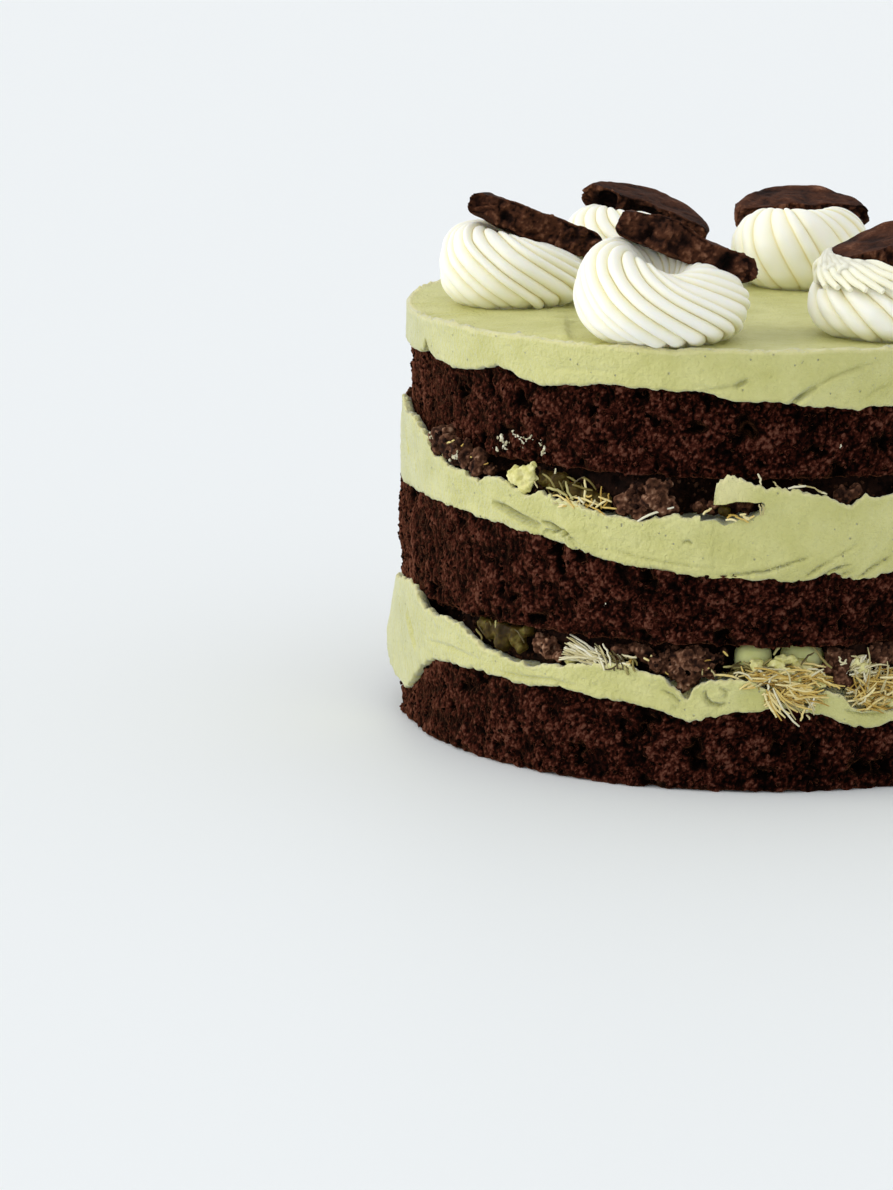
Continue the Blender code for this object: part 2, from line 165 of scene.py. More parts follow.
def round_the_cake(steps):
    """Evenly spaced angles all the way round."""
    return np.linspace(-180, 180, steps, endpoint=False)


def on_circle(radius, angle, height):
    """Points at an angle and a distance from the cake's middle line."""
    turn = np.radians(angle)
    return np.stack(np.broadcast_arrays(radius * np.sin(turn), -radius * np.cos(turn), height), -1)


def outwards(points):
    """The level direction away from the cake's middle line."""
    flat = points * (1, 1, 0)
    return flat / np.maximum(np.linalg.norm(flat, axis=-1, keepdims=True), 1e-6)


def placed_object(name, data):
    """An object at the origin that shows a mesh, a curve, a lamp or a camera."""
    thing = bpy.data.objects.new(name, data)
    bpy.context.scene.collection.objects.link(thing)
    return thing


def mesh_piece(name, points, faces, material):
    """An object at the origin that shows a mesh, given in millimetres."""
    mesh = bpy.data.meshes.new(name)
    mesh.from_pydata((np.asarray(points).reshape(-1, 3) * MM).tolist(), [], faces)
    mesh.shade_smooth()
    mesh.materials.append(material)
    return placed_object(name, mesh)


def ring_faces(rings, steps):
    """Faces of a closed skin through rings of points, from the underside out, up and in over the top."""
    index = np.arange(rings * steps).reshape(rings, steps)
    after = np.roll(index, -1, 1)
    quads = np.stack([index[:-1], after[:-1], after[1:], index[1:]], -1).reshape(-1, 4)
    return quads.tolist() + [index[0, ::-1].tolist(), index[-1].tolist()]


def ring_points(rings, angle):
    """The corners of rings given as (radius, height), each a number or one value for every angle."""
    return np.stack([on_circle(radius, angle, height) for radius, height in rings])


def keep_values(thing, name, values):
    """Stores one number at each corner of a piece, for its material."""
    layer = thing.data.attributes.new(name, "FLOAT", "POINT")
    layer.data.foreach_set("value", np.asarray(values, np.float32).ravel())


def linear(code):
    """The linear colour of an sRGB hex code."""
    parts = [int(code[i:i + 2], 16) / 255 for i in (1, 3, 5)]
    return [c / 12.92 if c <= 0.04045 else ((c + 0.055) / 1.055) ** 2.4 for c in parts] + [1.0]


def add(tree, kind, inputs=None, **settings):
    """Adds a node with its settings. Each input is a value, or the socket that feeds it."""
    made = tree.nodes.new(kind)
    for name, value in settings.items():
        setattr(made, name, value)
    for key, value in (inputs or {}).items():
        if isinstance(value, bpy.types.NodeSocket):
            tree.links.new(value, made.inputs[key])
        else:
            made.inputs[key].default_value = value
    return made


def new_material(name, **values):
    """An empty material with a Principled shader: its tree, its shader and its object coordinates."""
    material = bpy.data.materials.new(name)
    material.use_nodes = True
    tree = material.node_tree
    shader = tree.nodes["Principled BSDF"]
    for key, value in values.items():
        shader.inputs[key.replace("_", " ").title().replace("Ior", "IOR")].default_value = value
    place = add(tree, "ShaderNodeTexCoord").outputs["Object"]
    return material, tree, shader, place


def colour_steps(tree, value, steps):
    """A colour ramp through (position, hex colour) steps, fed by a value."""
    ramp = add(tree, "ShaderNodeValToRGB", {"Fac": value})
    stops = ramp.color_ramp.elements
    stops.remove(stops[1])
    stops[0].position, stops[0].color = steps[0][0], linear(steps[0][1])
    for position, code in steps[1:]:
        stops.new(position).color = linear(code)
    return ramp.outputs["Color"]


def stored(tree, name):
    """A number that is stored at the corners of the piece."""
    return add(tree, "ShaderNodeAttribute", attribute_name=name).outputs["Fac"]


def noise(tree, place, size, detail, roughness=0.5):
    """Soft random patches, one about every size millimetres."""
    return add(tree, "ShaderNodeTexNoise", {"Vector": place, "Scale": 1 / (size * MM), "Detail": detail,
                                            "Roughness": roughness}).outputs["Fac"]


def sum_of(tree, value, share, rest):
    """A share of one value added to another."""
    return add(tree, "ShaderNodeMath", {0: value, 1: share, 2: rest}, operation="MULTIPLY_ADD").outputs[0]


def less(tree, value, amount):
    """A value with an amount taken off."""
    return add(tree, "ShaderNodeMath", {0: value, 1: amount}, operation="SUBTRACT").outputs[0]


def fine_relief(tree, shader, strength, depth, height):
    """Relief too fine for the mesh, with its depth in millimetres."""
    bump = add(tree, "ShaderNodeBump", {"Strength": strength, "Distance": depth * MM, "Height": height})
    tree.links.new(bump.outputs["Normal"], shader.inputs["Normal"])


def chocolate_sponge():
    """Cocoa sponge: matt, painted nearly black in its hollows as shade and a warm red brown on the tips of
    its crumb as light.
    """
    material, tree, shader, place = new_material(
        "chocolate sponge", roughness=0.85, specular_ior_level=0.02, sheen_weight=0.46,
        sheen_roughness=0.36, sheen_tint=linear("#BE7A54"))
    mixed = sum_of(tree, noise(tree, place, 0.8, 4.0, 0.65), 1.5, stored(tree, "crumb"))
    mixed = sum_of(tree, noise(tree, place, 6, 3.0), 0.3, mixed)
    # The ramp runs from painted shade in the hollows to painted light on the grain tips.
    colour = colour_steps(tree, less(tree, mixed, 0.9), [
        (0.0, "#000000"), (0.34, "#0C0302"), (0.55, "#240B06"), (0.75, "#421E15"), (0.96, "#623D30")])
    tree.links.new(colour, shader.inputs["Base Color"])
    fine_relief(tree, shader, 0.8, 0.35, noise(tree, place, 0.4, 3.0))
    return material


SPONGE = chocolate_sponge()


def sponge(name, node, radius, foot_out, edge, inner_top, seed):
    """One baked disc. Its wall runs from a worn lower corner up to the line where the cream starts."""
    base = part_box(node)[0].z / MM
    angle = round_the_cake(SPONGE_STEPS)
    top = edge(angle) + 0.4
    rings = [(66.0, base), (70.0, base), (radius - 2.2, base)]
    for turn in np.radians((-90, -60, -30)):
        rings.append((radius + foot_out + SPONGE_CORNER * (math.cos(turn) - 1),
                      base + SPONGE_CORNER * (1 + math.sin(turn))))
    foot = base + SPONGE_CORNER
    for share in np.linspace(0, 1, SPONGE_ROWS):
        wall = radius + foot_out * (1 - share) ** 3 + 0.25 * math.sin(math.pi * share)
        rings.append((wall, foot + share * (top - foot)))
    rings += [(radius - 1.6, top), (70.0, (top + inner_top) / 2), (66.0, inner_top)]
    points = ring_points(rings, angle)
    loose = np.linalg.norm(points[..., :2], axis=-1) > radius - 1.9
    relief, light = crumb(points, seed)
    holes = fallen_out(points)
    # The larger holes are cut in and painted darker as shade.
    relief, light = relief - 2.6 * holes, np.clip(light - 0.8 * holes, 0, 1)
    moved = points + outwards(points) * (relief * loose)[..., None]
    near_foot = np.clip(1 - (points[..., 2] - base) / 3.0, 0, 1) * loose
    ragged = swell(points, 2.4, seed + 7) + 0.7 * swell(points, 1.1, seed + 8)
    moved += outwards(points) * (0.55 * ragged * near_foot)[..., None]
    moved[..., 2] += 0.5 * swell(points, 1.7, seed + 9) * near_foot
    moved[..., 2] = np.maximum(moved[..., 2], base if base < 1 else base - 0.6)
    thing = mesh_piece(name, moved, ring_faces(len(rings), SPONGE_STEPS), SPONGE)
    # Painted light and shade: the stored crumb value is lighter on grain tips and darker in hollows and
    # holes.
    keep_values(thing, "crumb", np.where(loose, light, 0.5))
    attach(thing, "root")
    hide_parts(node)
    return thing


sponges = [
    sponge("bottom_sponge_crumb", "sponge_bottom", 75.3, 0.7, around(BOTTOM_SPONGE_EDGE), 19.0, 100),
    sponge("middle_sponge_crumb", "sponge_middle", 75.8, 0.0, around(MIDDLE_SPONGE_EDGE), 49.0, 200),
    sponge("top_sponge_crumb", "sponge_top", 72.9, 0.0, around(ICING_EDGE), 83.4, 300),
]

# ---- The two cream fillings ---------------------------------------------------------------------
# Whipped pistachio cream, spread with a palette knife. Each disc stands up in a torn rim at the side
# and dips to a floor inside. Its wall carries knife strokes, laps and small burst air bubbles.
CREAM_STEPS = 1320
LOWER_CREAM_EDGE = [
    (-165, 24), (-150, 27), (-130, 25.5), (-115, 27), (-100, 27.5), (-91, 29), (-86, 30.4),
    (-80, 31.8), (-76, 32.6), (-72, 32.4), (-70, 30.5), (-68, 29), (-60, 28.5), (-55, 28.5),
    (-52, 26), (-48, 24.5), (-42, 23.5), (-35, 24), (-30, 24.7), (-22, 26.5), (-20, 25.5), (-16, 24),
    (-15, 22), (-13.6, 21.6), (-12.8, 19.5), (-12.2, 19.6), (-11.5, 22.3), (-10, 23.2), (-8, 24.3),
    (-3, 24.2), (-1, 23.2), (0.4, 22), (1.4, 19.4), (2.4, 18.8), (6.2, 18.4), (7.2, 20.2), (8, 21.5),
    (10, 21.6), (12, 20.5), (13, 18.6), (15, 17.8), (20, 17), (26, 21), (40, 25), (55, 27.5), (70, 24),
    (85, 26.5), (100, 25), (112, 20.5), (128, 22), (145, 27), (160, 28.5), (175, 25),
]
UPPER_CREAM_EDGE = [
    (-165, 58), (-145, 60.5), (-125, 58.5), (-105, 65), (-95, 68.4), (-88, 70.8), (-84, 71),
    (-80, 69.6), (-75, 69.2), (-70, 67.2), (-67, 65), (-65, 63.5), (-60, 62), (-55, 61.5),
    (-51.5, 60), (-50, 61.5), (-47, 62.3), (-44, 61), (-41, 59.5), (-36, 60.3), (-35, 59.5),
    (-30, 58.5), (-28, 57.5), (-25, 57), (-20.5, 56), (-18, 57.5), (-15, 58), (-13, 57), (-10, 58),
    (-8.9, 57.4), (-8.7, 63.4),
    (-8.5, 64.8), (-8.2, 65.0), (-7.9, 65.9), (-7.3, 66.1), (-6.9, 67.1), (-6.2, 66.8), (-5.8, 67.2),
    (-5.2, 66.5), (-4.6, 66.8), (-3.9, 66.0), (-3.2, 66.1), (-2.6, 65.2), (-1.7, 65.3), (-0.9, 64.4),
    (0.2, 64.7), (1.2, 63.9), (2.2, 64.3), (3, 63.6), (4.2, 63.9), (5, 63.4), (7, 63.1), (9, 62.5),
    (10.5, 61), (12, 60.2), (13.5, 60.4), (15, 62), (20, 62), (25, 62.5), (40, 60), (60, 58),
    (80, 61.5), (100, 63.5), (120, 60), (140, 57.5), (160, 59.5), (180, 61),
]
# How far the lower cream slumps out past its usual radius, or lies back from it where that is below
# nothing, most of all at its lower edge.
LOWER_CREAM_SLUMP = [(-140, 0.2), (-105, 1.8), (-92, 2.7), (-86, 1.8), (-80, 0.8), (-73, 0.1),
                     (-10, 0.1), (0, -0.3), (8, -0.3), (20, 0.4), (60, 0.5), (90, -0.3), (120, 0.2)]
ARC = math.pi * 76 / 180      # millimetres along the wall for a degree


def from_line(angle, height, line):
    """Distance in mm from a line of (angle, height) points on the wall, positive on its left, and how
    far along the line the nearest spot lies, from 0 to 1."""
    spot = np.stack([angle * ARC, height], -1)
    line = np.array(line, float) * (ARC, 1)
    best, side, along = (np.full(spot.shape[:-1], value) for value in (99.0, 1.0, 0.0))
    for number, (start, end) in enumerate(zip(line, line[1:])):
        step = end - start
        share = np.clip(((spot - start) @ step) / (step @ step), 0, 1)
        gap = spot - start - share[..., None] * step
        far = np.hypot(gap[..., 0], gap[..., 1])
        closer = far < best
        best = np.where(closer, far, best)
        side = np.where(closer, np.sign(step[0] * gap[..., 1] - step[1] * gap[..., 0]), side)
        along = np.where(closer, (number + share) / (len(line) - 1), along)
    return best * side, along


def knife_marks(angle, height, marks):
    """Relief left by the knife. Each mark is a line with the width and depth of its crease, and how
    high the cream laps over on its left and on its right. It fades out at both ends."""
    relief = np.zeros(angle.shape)
    for line, width, depth, left, right in marks:
        far, along = from_line(angle, height, line)
        fade = np.sqrt(np.clip(np.sin(np.pi * along), 0, 1))
        lap = np.clip(np.abs(far) / width, 0, 1) * np.exp(-np.abs(far) / 2.4)
        relief += fade * (np.where(far > 0, left, right) * lap - depth * np.exp(-(far / width) ** 2))
    return relief


def torn(line, rough, seed):
    """How far a torn edge wanders in mm: long tears, short steps and a fine fringe."""
    step = swell(line, 1.5, seed)
    return rough * (0.30 * swell(line, 3.2, seed + 1) + 0.36 * np.sign(step) * np.abs(step) ** 0.6
                    + 0.24 * swell(line, 0.75, seed + 2))


def spread(points, seed):
    """The relief of spread cream: slow waves, flat streaks that follow the knife, burst bubbles."""
    streaks = points * (1, 1, 2.6)
    relief = 0.34 * swell(points, 19.0, seed) + 0.17 * swell(streaks, 9.0, seed + 1)
    relief += 0.09 * swell(streaks, 3.2, seed + 2) + 0.10 * swell(points, 1.4, seed + 3)
    bubble = np.clip(0.13 - nearest(points, 5.2, seed + 4), 0, None)
    return relief - 3.0 * bubble


def wall_rings(radius, lower, upper, rows, low_round, high_round):
    """Rings up a wall of cream with rounded lower and upper corners."""
    low = np.minimum(low_round, 0.4 * (upper - lower))
    high = np.minimum(high_round, 0.4 * (upper - lower))
    rings = [(radius + low * (math.cos(turn) - 1), lower + low * (1 + math.sin(turn)))
             for turn in np.radians((-90, -60, -30))]
    rings += [(radius, lower + low + share * (upper - high - lower - low))
              for share in np.linspace(0, 1, rows)]
    return rings + [(radius + high * (math.cos(turn) - 1), upper - high * (1 - math.sin(turn)))
                    for turn in np.radians((30, 60, 90))]


EVEN = (1.0, 0.85, 0.6)       # how far red, green and blue light spread inside cream and pastry


def pistachio_cream(name, sheen):
    """Whipped cream with ground pistachio: satin, pale yellowish green, with fine burst air bubbles whose
    pits are painted darker as shade, and torn rims painted paler as highlight.
    """
    material, tree, shader, place = new_material(
        name, roughness=0.5, specular_ior_level=0.4, sheen_weight=sheen,
        sheen_roughness=0.42, sheen_tint=linear("#E4EDFF"), subsurface_weight=0.1,
        subsurface_scale=1.2 * MM, subsurface_radius=EVEN)
    body = colour_steps(tree, noise(tree, place, 9, 5.0, 0.62), [(0.3, "#C5C375"), (0.7, "#D7D590")])
    bubble = add(tree, "ShaderNodeTexVoronoi", {"Vector": place, "Scale": 1 / (1.5 * MM)})
    chance = add(tree, "ShaderNodeSeparateColor", {"Color": bubble.outputs["Color"]})
    radius = add(tree, "ShaderNodeMapRange", {"Value": chance.outputs["Red"], "From Min": 0.3,
                                              "From Max": 1.0, "To Min": -0.04, "To Max": 0.16})
    inside = less(tree, radius.outputs[0], bubble.outputs["Distance"])
    pit = add(tree, "ShaderNodeMapRange", {"Value": inside, "From Min": -0.02,
                                           "From Max": 0.04}).outputs[0]
    # Painted shade: burst bubbles are darkened in their pits.
    pit_shade = add(tree, "ShaderNodeMath", {0: pit, 1: 0.55}, operation="MULTIPLY")
    colour = add(tree, "ShaderNodeMix", {0: pit_shade.outputs[0], 6: body, 7: linear("#857F3C")},
                 data_type="RGBA")
    # Painted highlight: where the stored "torn" value is high, the rims and the free tongue are painted
    # paler, as light that catches them.
    rim_highlight = add(tree, "ShaderNodeMix", {0: stored(tree, "torn"), 6: colour.outputs[2],
                                        7: linear("#E8E1A8")}, data_type="RGBA")
    tree.links.new(rim_highlight.outputs[2], shader.inputs["Base Color"])
    height = sum_of(tree, pit, -0.9, noise(tree, place, 0.9, 4.0, 0.6))
    fine_relief(tree, shader, 1.0, 0.7, height)
    return material


CREAM = pistachio_cream("pistachio cream", 0.62)


def cream_filling(name, node, out, under_radius, slump, lower, upper, inner_base, floor, rows, marks,
                  flag, seed):
    """A dished disc of cream between two uneven edge lines."""
    angle = round_the_cake(CREAM_STEPS)
    wall_line = on_circle(76.0, angle, 0.0)
    low = lower(angle) + torn(wall_line, 0.8, seed + 20)
    high = upper(angle) + torn(wall_line, 1.15, seed + 24)
    high = np.maximum(high, low + 0.5)
    rings = [(66.0, inner_base), (70.0, (low + inner_base) / 2), (under_radius - 2.0, low)]
    rings += wall_rings(out, low, high, rows, 0.75, 0.5)
    rings += [(out - 0.9, high - 0.05), (out - 1.4, high - 0.3), (out - 2.0, high - 1.0)]
    rings += [(out - 2.0 - 4.0 * share, high - 1.0 + share * (floor - high + 1.0))
              for share in (0.2, 0.4, 0.7, 1.0)]
    rings.append((66.0, floor))
    points = ring_points(rings, angle)
    wall = (np.linalg.norm(points[..., :2], axis=-1) > out - 1.0).astype(float)
    turn, tall = np.broadcast_to(angle, points.shape[:2]), points[..., 2]
    relief = spread(points, seed) + 2.0 * knife_marks(turn, tall, marks)
    relief += slump(angle) * np.clip(1.25 - (tall - low) / (high - low), 0, 1)
    edge = np.exp(-((tall - high) / 0.8) ** 2) + 0.5 * np.exp(-((tall - low) / 0.6) ** 2)
    relief += 0.4 * edge * swell(points, 1.0, seed + 28)
    moved = points + outwards(points) * (relief * wall)[..., None]
    rim = (points[..., 2] > high - 0.7) * (1 - 0.4 * wall)
    moved[..., 2] += rim * (0.3 * swell(points, 1.6, seed + 29) + 0.35 * swell(points, 0.8, seed + 30))
    thing = mesh_piece(name, moved, ring_faces(len(rings), CREAM_STEPS), CREAM)
    # Painted highlight: a pale band along the top of the rim and on the free tongue, stored as "torn".
    pale = np.clip((tall - high) / 0.9 + 1, 0, 1) * (0.65 + 0.35 * swell(points, 1.2, seed + 31))
    keep_values(thing, "torn", np.clip(pale + flag(turn, tall), 0, 1))
    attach(thing, "root")
    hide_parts(node)
    return thing


LOWER_MARKS = [
    (((-9.7, 21.9), (-9.5, 20.2), (-8.7, 19.1), (-7.4, 18.7), (-6.4, 19.2)), 0.4, 0.8, 0.15, 0.0),
    (((-7.6, 22.6), (-6.4, 21.6), (-6.6, 20.2)), 0.35, 0.4, 0.0, 0.2),
    (((-16.5, 21.4), (-14.6, 20.4), (-13.4, 18.8)), 0.35, 0.35, 0.0, 0.25),
    (((-46, 20.6), (-41, 20.4), (-35, 21.0), (-30, 20.2)), 0.4, 0.28, 0.0, 0.3),
    (((-66, 22), (-58, 22.6), (-50, 22)), 0.5, 0.25, 0.15, 0.0),
    (((-76, 26), (-73, 22), (-71, 18)), 0.6, 0.3, 0.0, 0.3),
    (((2, 20.6), (4.4, 19.8), (7.6, 20.4)), 0.4, 0.35, 0.3, 0.0),
    (((12, 17.4), (15, 16.6), (19, 16.4)), 0.35, 0.3, 0.3, 0.0),
    (((30, 20), (42, 22), (50, 22.5)), 0.5, 0.3, 0.1, 0.0),
    (((88, 21), (97, 23), (104, 22)), 0.6, 0.3, 0.15, 0.0),
    (((150, 21), (162, 23.5), (174, 23)), 0.5, 0.3, 0.1, 0.0),
    (((-150, 20), (-138, 22), (-128, 21.5)), 0.5, 0.3, 0.1, 0.0),
]
UPPER_MARKS = [
    (((-9, 45.7), (-5.1, 46.1), (-0.6, 46.9), (3, 48.4), (6.8, 50.1)), 0.35, 0.45, 0.0, 0.5),
    (((5.3, 45.6), (6.6, 46.6), (8.2, 48.1), (11.1, 49.6)), 0.32, 0.42, 0.0, 0.4),
    (((8.0, 45.3), (9.0, 46.5), (10.4, 47.5), (12.9, 48.1)), 0.3, 0.38, 0.0, 0.35),
    (((10.6, 45.5), (11.8, 46.4), (13.3, 46.9)), 0.3, 0.3, 0.0, 0.3),
    (((8.9, 48.9), (11.4, 50.4), (14.2, 52.2)), 0.3, 0.18, 0.0, 0.2),
    (((13.6, 44.9), (15.2, 46.2), (17, 47.7), (19.6, 49.4)), 0.35, 0.42, 0.0, 0.45),
    (((-48, 56.3), (-45, 55.6), (-41, 54), (-37.6, 53)), 0.6, 1.2, 0.0, 0.7),
    (((-37.6, 54.2), (-35.6, 53.9), (-34, 52.9), (-35.4, 52.3)), 0.4, 0.8, 0.2, 0.6),
    (((-33.6, 53.4), (-32.4, 52.4), (-33.6, 51.4)), 0.35, 0.6, 0.4, 0.0),
    (((-26, 50.2), (-20, 48.7), (-13, 47.7), (-8, 47.3)), 0.4, 0.2, 0.0, 0.3),
    (((-13.6, 52.6), (-12.6, 52.9), (-12.0, 52.2)), 0.3, 0.45, 0.0, 0.0),
    (((-81, 66.5), (-80, 63), (-78.6, 60)), 0.5, 1.0, 0.2, 0.0),
    (((30, 50), (40, 52.5), (52, 53)), 0.5, 0.35, 0.0, 0.25),
    (((70, 53), (84, 55), (95, 58)), 0.5, 0.35, 0.1, 0.2),
    (((120, 51), (133, 50), (142, 52)), 0.6, 0.35, 0.0, 0.25),
    (((146, 47), (150, 49.5), (156, 52)), 0.35, 0.4, 0.0, 0.4),
    (((150, 47), (154, 49), (159, 50.5)), 0.32, 0.38, 0.0, 0.35),
    (((-170, 50), (-158, 52.5), (-146, 53)), 0.5, 0.35, 0.0, 0.25),
    (((-120, 53), (-108, 55.5), (-98, 58)), 0.5, 0.35, 0.0, 0.25),
]
bulge = around(LOWER_CREAM_SLUMP)


def tongue_highlight(angle, height):
    """How much painted light lies on the free tongue of the upper cream, which makes it paler."""
    return 0.55 * np.clip((-1.5 - angle) / 4, 0, 1) * np.clip((angle + 11) / 2, 0, 1) * (height > 60.6)


cream_filling("lower_cream_spread", "cream_lower", 76.7, 75.8, bulge, around(BOTTOM_SPONGE_EDGE),
              around(LOWER_CREAM_EDGE), 19.0, 22.6, 34, LOWER_MARKS,
              lambda angle, height: 0 * height, 400)
upper_cream = cream_filling("upper_cream_spread", "cream_upper", 75.9, 76.1, around([(0, 0.0)]),
                            around(MIDDLE_SPONGE_EDGE), around(UPPER_CREAM_EDGE), 49.0, 56.4, 36,
                            UPPER_MARKS, tongue_highlight, 450)

# The upper cream is torn: a tongue of it hangs free over an opening. The opening's outline is given as
# (angle, height) and reaches through the rim. The tear is rough, so its edges wander a little.
TONGUE_OPENING = [(-11, 57.2), (-8.8, 57.3), (-7, 56.5), (-5, 57.3), (-3, 57.8), (-1.9, 58.6),
                  (-1.3, 59.8), (-1.1, 60.9), (-1.5, 61.4), (-4, 61.3), (-7, 60.9), (-11, 60.7)]
OPENING_REACH = (63.0, 80.0)


def finer(line, spacing):
    """A closed line with corners added about every spacing."""
    made = []
    for start, end in zip(line, line[1:] + line[:1]):
        count = max(1, round(math.dist(start, end) / spacing))
        made += [tuple(np.array(start) + (np.array(end) - start) * k / count) for k in range(count)]
    return made


def plain_mesh(thing):
    """The plain mesh that a piece and its modifiers make."""
    shown = thing.evaluated_get(bpy.context.evaluated_depsgraph_get())
    return bpy.data.meshes.new_from_object(shown)


def settle(thing):
    """Turns a piece with modifiers into the plain mesh that they make."""
    mesh = plain_mesh(thing)
    thing.modifiers.clear()
    thing.data = mesh


def tear_open(thing, line, reach):
    """Cuts an opening with a rough outline right through the rim of a cream."""
    line = np.array(finer(line, 0.35))
    rows = []
    for depth in np.linspace(*reach, 12):
        edge = on_circle(depth, line[:, 0], line[:, 1])
        shift = np.stack([swell(edge, 1.6, 481), swell(edge, 1.6, 482)], -1) * (0.4 / ARC, 0.4)
        rows.append(on_circle(depth, line[:, 0] + shift[:, 0], line[:, 1] + shift[:, 1]))
    cutter = mesh_piece("opening", np.array(rows), ring_faces(len(rows), len(line)), CREAM)
    cut = thing.modifiers.new("tear", "BOOLEAN")
    cut.operation, cut.solver, cut.object = "DIFFERENCE", "EXACT", cutter
    settle(thing)
    bpy.data.objects.remove(cutter)


tear_open(upper_cream, TONGUE_OPENING, OPENING_REACH)
upper_cream.data.set_sharp_from_angle(angle=math.radians(50))

# ---- The crunchy heaps --------------------------------------------------------------------------
# Each filling holds a heap of toasted pastry shreds and chocolate crumble on the cream's floor. Its
# packed middle is one lumpy body that falls back where the side shows a hollow, painted dark as the
# shade deep inside the filling.
HEAP_STEPS, HEAP_ROWS = 720, 15
LOWER_HEAP = [
    (-150, 71), (-125, 66), (-105, 70), (-75, 70), (-66, 68), (-60, 69), (-52, 70), (-46, 72.6),
    (-35, 72), (-20, 71), (-12, 70.5), (-8, 66), (-5, 62), (8.4, 62), (10, 71.5), (13, 73), (20, 72),
    (40, 69), (55, 66), (70, 70.5), (95, 70), (105, 62), (125, 62), (132, 70), (160, 67),
]
UPPER_HEAP = [
    (-160, 66), (-140, 70), (-115, 70), (-75, 70), (-55, 70), (-47, 66), (-38, 69), (-22, 70),
    (-18, 70.5), (-14, 65), (-10, 62), (0, 62), (5, 68), (30, 70), (45, 66), (62, 69), (70, 62),
    (82, 62), (90, 70), (120, 70), (135, 66), (150, 70), (175, 69),
]


def dry_material(name, flecks, share, taken_off, steps, relief, value="crumb", **settings):
    """A material whose colour follows the number stored at each corner of the piece, with a share of
    flecks added and an amount taken off. Flecks are (size, detail) and sometimes how rough they are,
    and the relief is (size, detail, strength, depth)."""
    material, tree, shader, place = new_material(name, **settings)
    mixed = sum_of(tree, noise(tree, place, *flecks), share, stored(tree, value))
    tree.links.new(colour_steps(tree, less(tree, mixed, taken_off), steps), shader.inputs["Base Color"])
    size, detail, strength, depth = relief
    fine_relief(tree, shader, strength, depth, noise(tree, place, size, detail))
    return material


# Baked cocoa crumble: dry and matt, dark brown with rounder grain tips painted paler as light and hollows
# painted darker as shade.
CRUMBLE = dry_material(
    "chocolate crumble", (1.1, 3.0), 0.7, 0.35,
    [(0.0, "#0C0402"), (0.3, "#27140C"), (0.6, "#4C2F20"), (0.85, "#785440"), (1.0, "#A07E66")],
    (0.35, 2.0, 0.5, 0.25), roughness=0.85, specular_ior_level=0.1)


def heap(name, node, outline, floor, ceiling, seed):
    """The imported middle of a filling, from the cream's floor to the sponge above."""
    angle = round_the_cake(HEAP_STEPS)
    out = outline(angle)
    floor, ceiling = floor + 0.4, ceiling + 0.3
    rings = [(56.0, floor), (60.0, floor)]
    rings += [(out + 0.6 * math.sin(math.pi * share), floor + share * (ceiling - floor))
              for share in np.linspace(0, 1, HEAP_ROWS)]
    rings += [(60.0, ceiling), (56.0, ceiling)]
    points = ring_points(rings, angle)
    loose = np.linalg.norm(points[..., :2], axis=-1) > 60.5
    relief, light = crumb(points, seed)
    relief += 1.1 * swell(points, 5.0, seed + 8)
    moved = points + outwards(points) * (relief * loose)[..., None]
    thing = mesh_piece(name, moved, ring_faces(len(rings), HEAP_STEPS), CRUMBLE)
    # Painted shade: the crumb value is cut to about a third, so the whole heap is dark as the shade deep in
    # the filling, and darker still in its hollows.
    keep_values(thing, "crumb", light * 0.35)
    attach(thing, "root")
    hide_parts(node)
    return thing


lower_heap = heap("lower_heap", "crunch_lower", around(LOWER_HEAP), 22.6, 31.0, 500)
upper_heap = heap("upper_heap", "crunch_upper", around(UPPER_HEAP), 56.4, 65.5, 550)

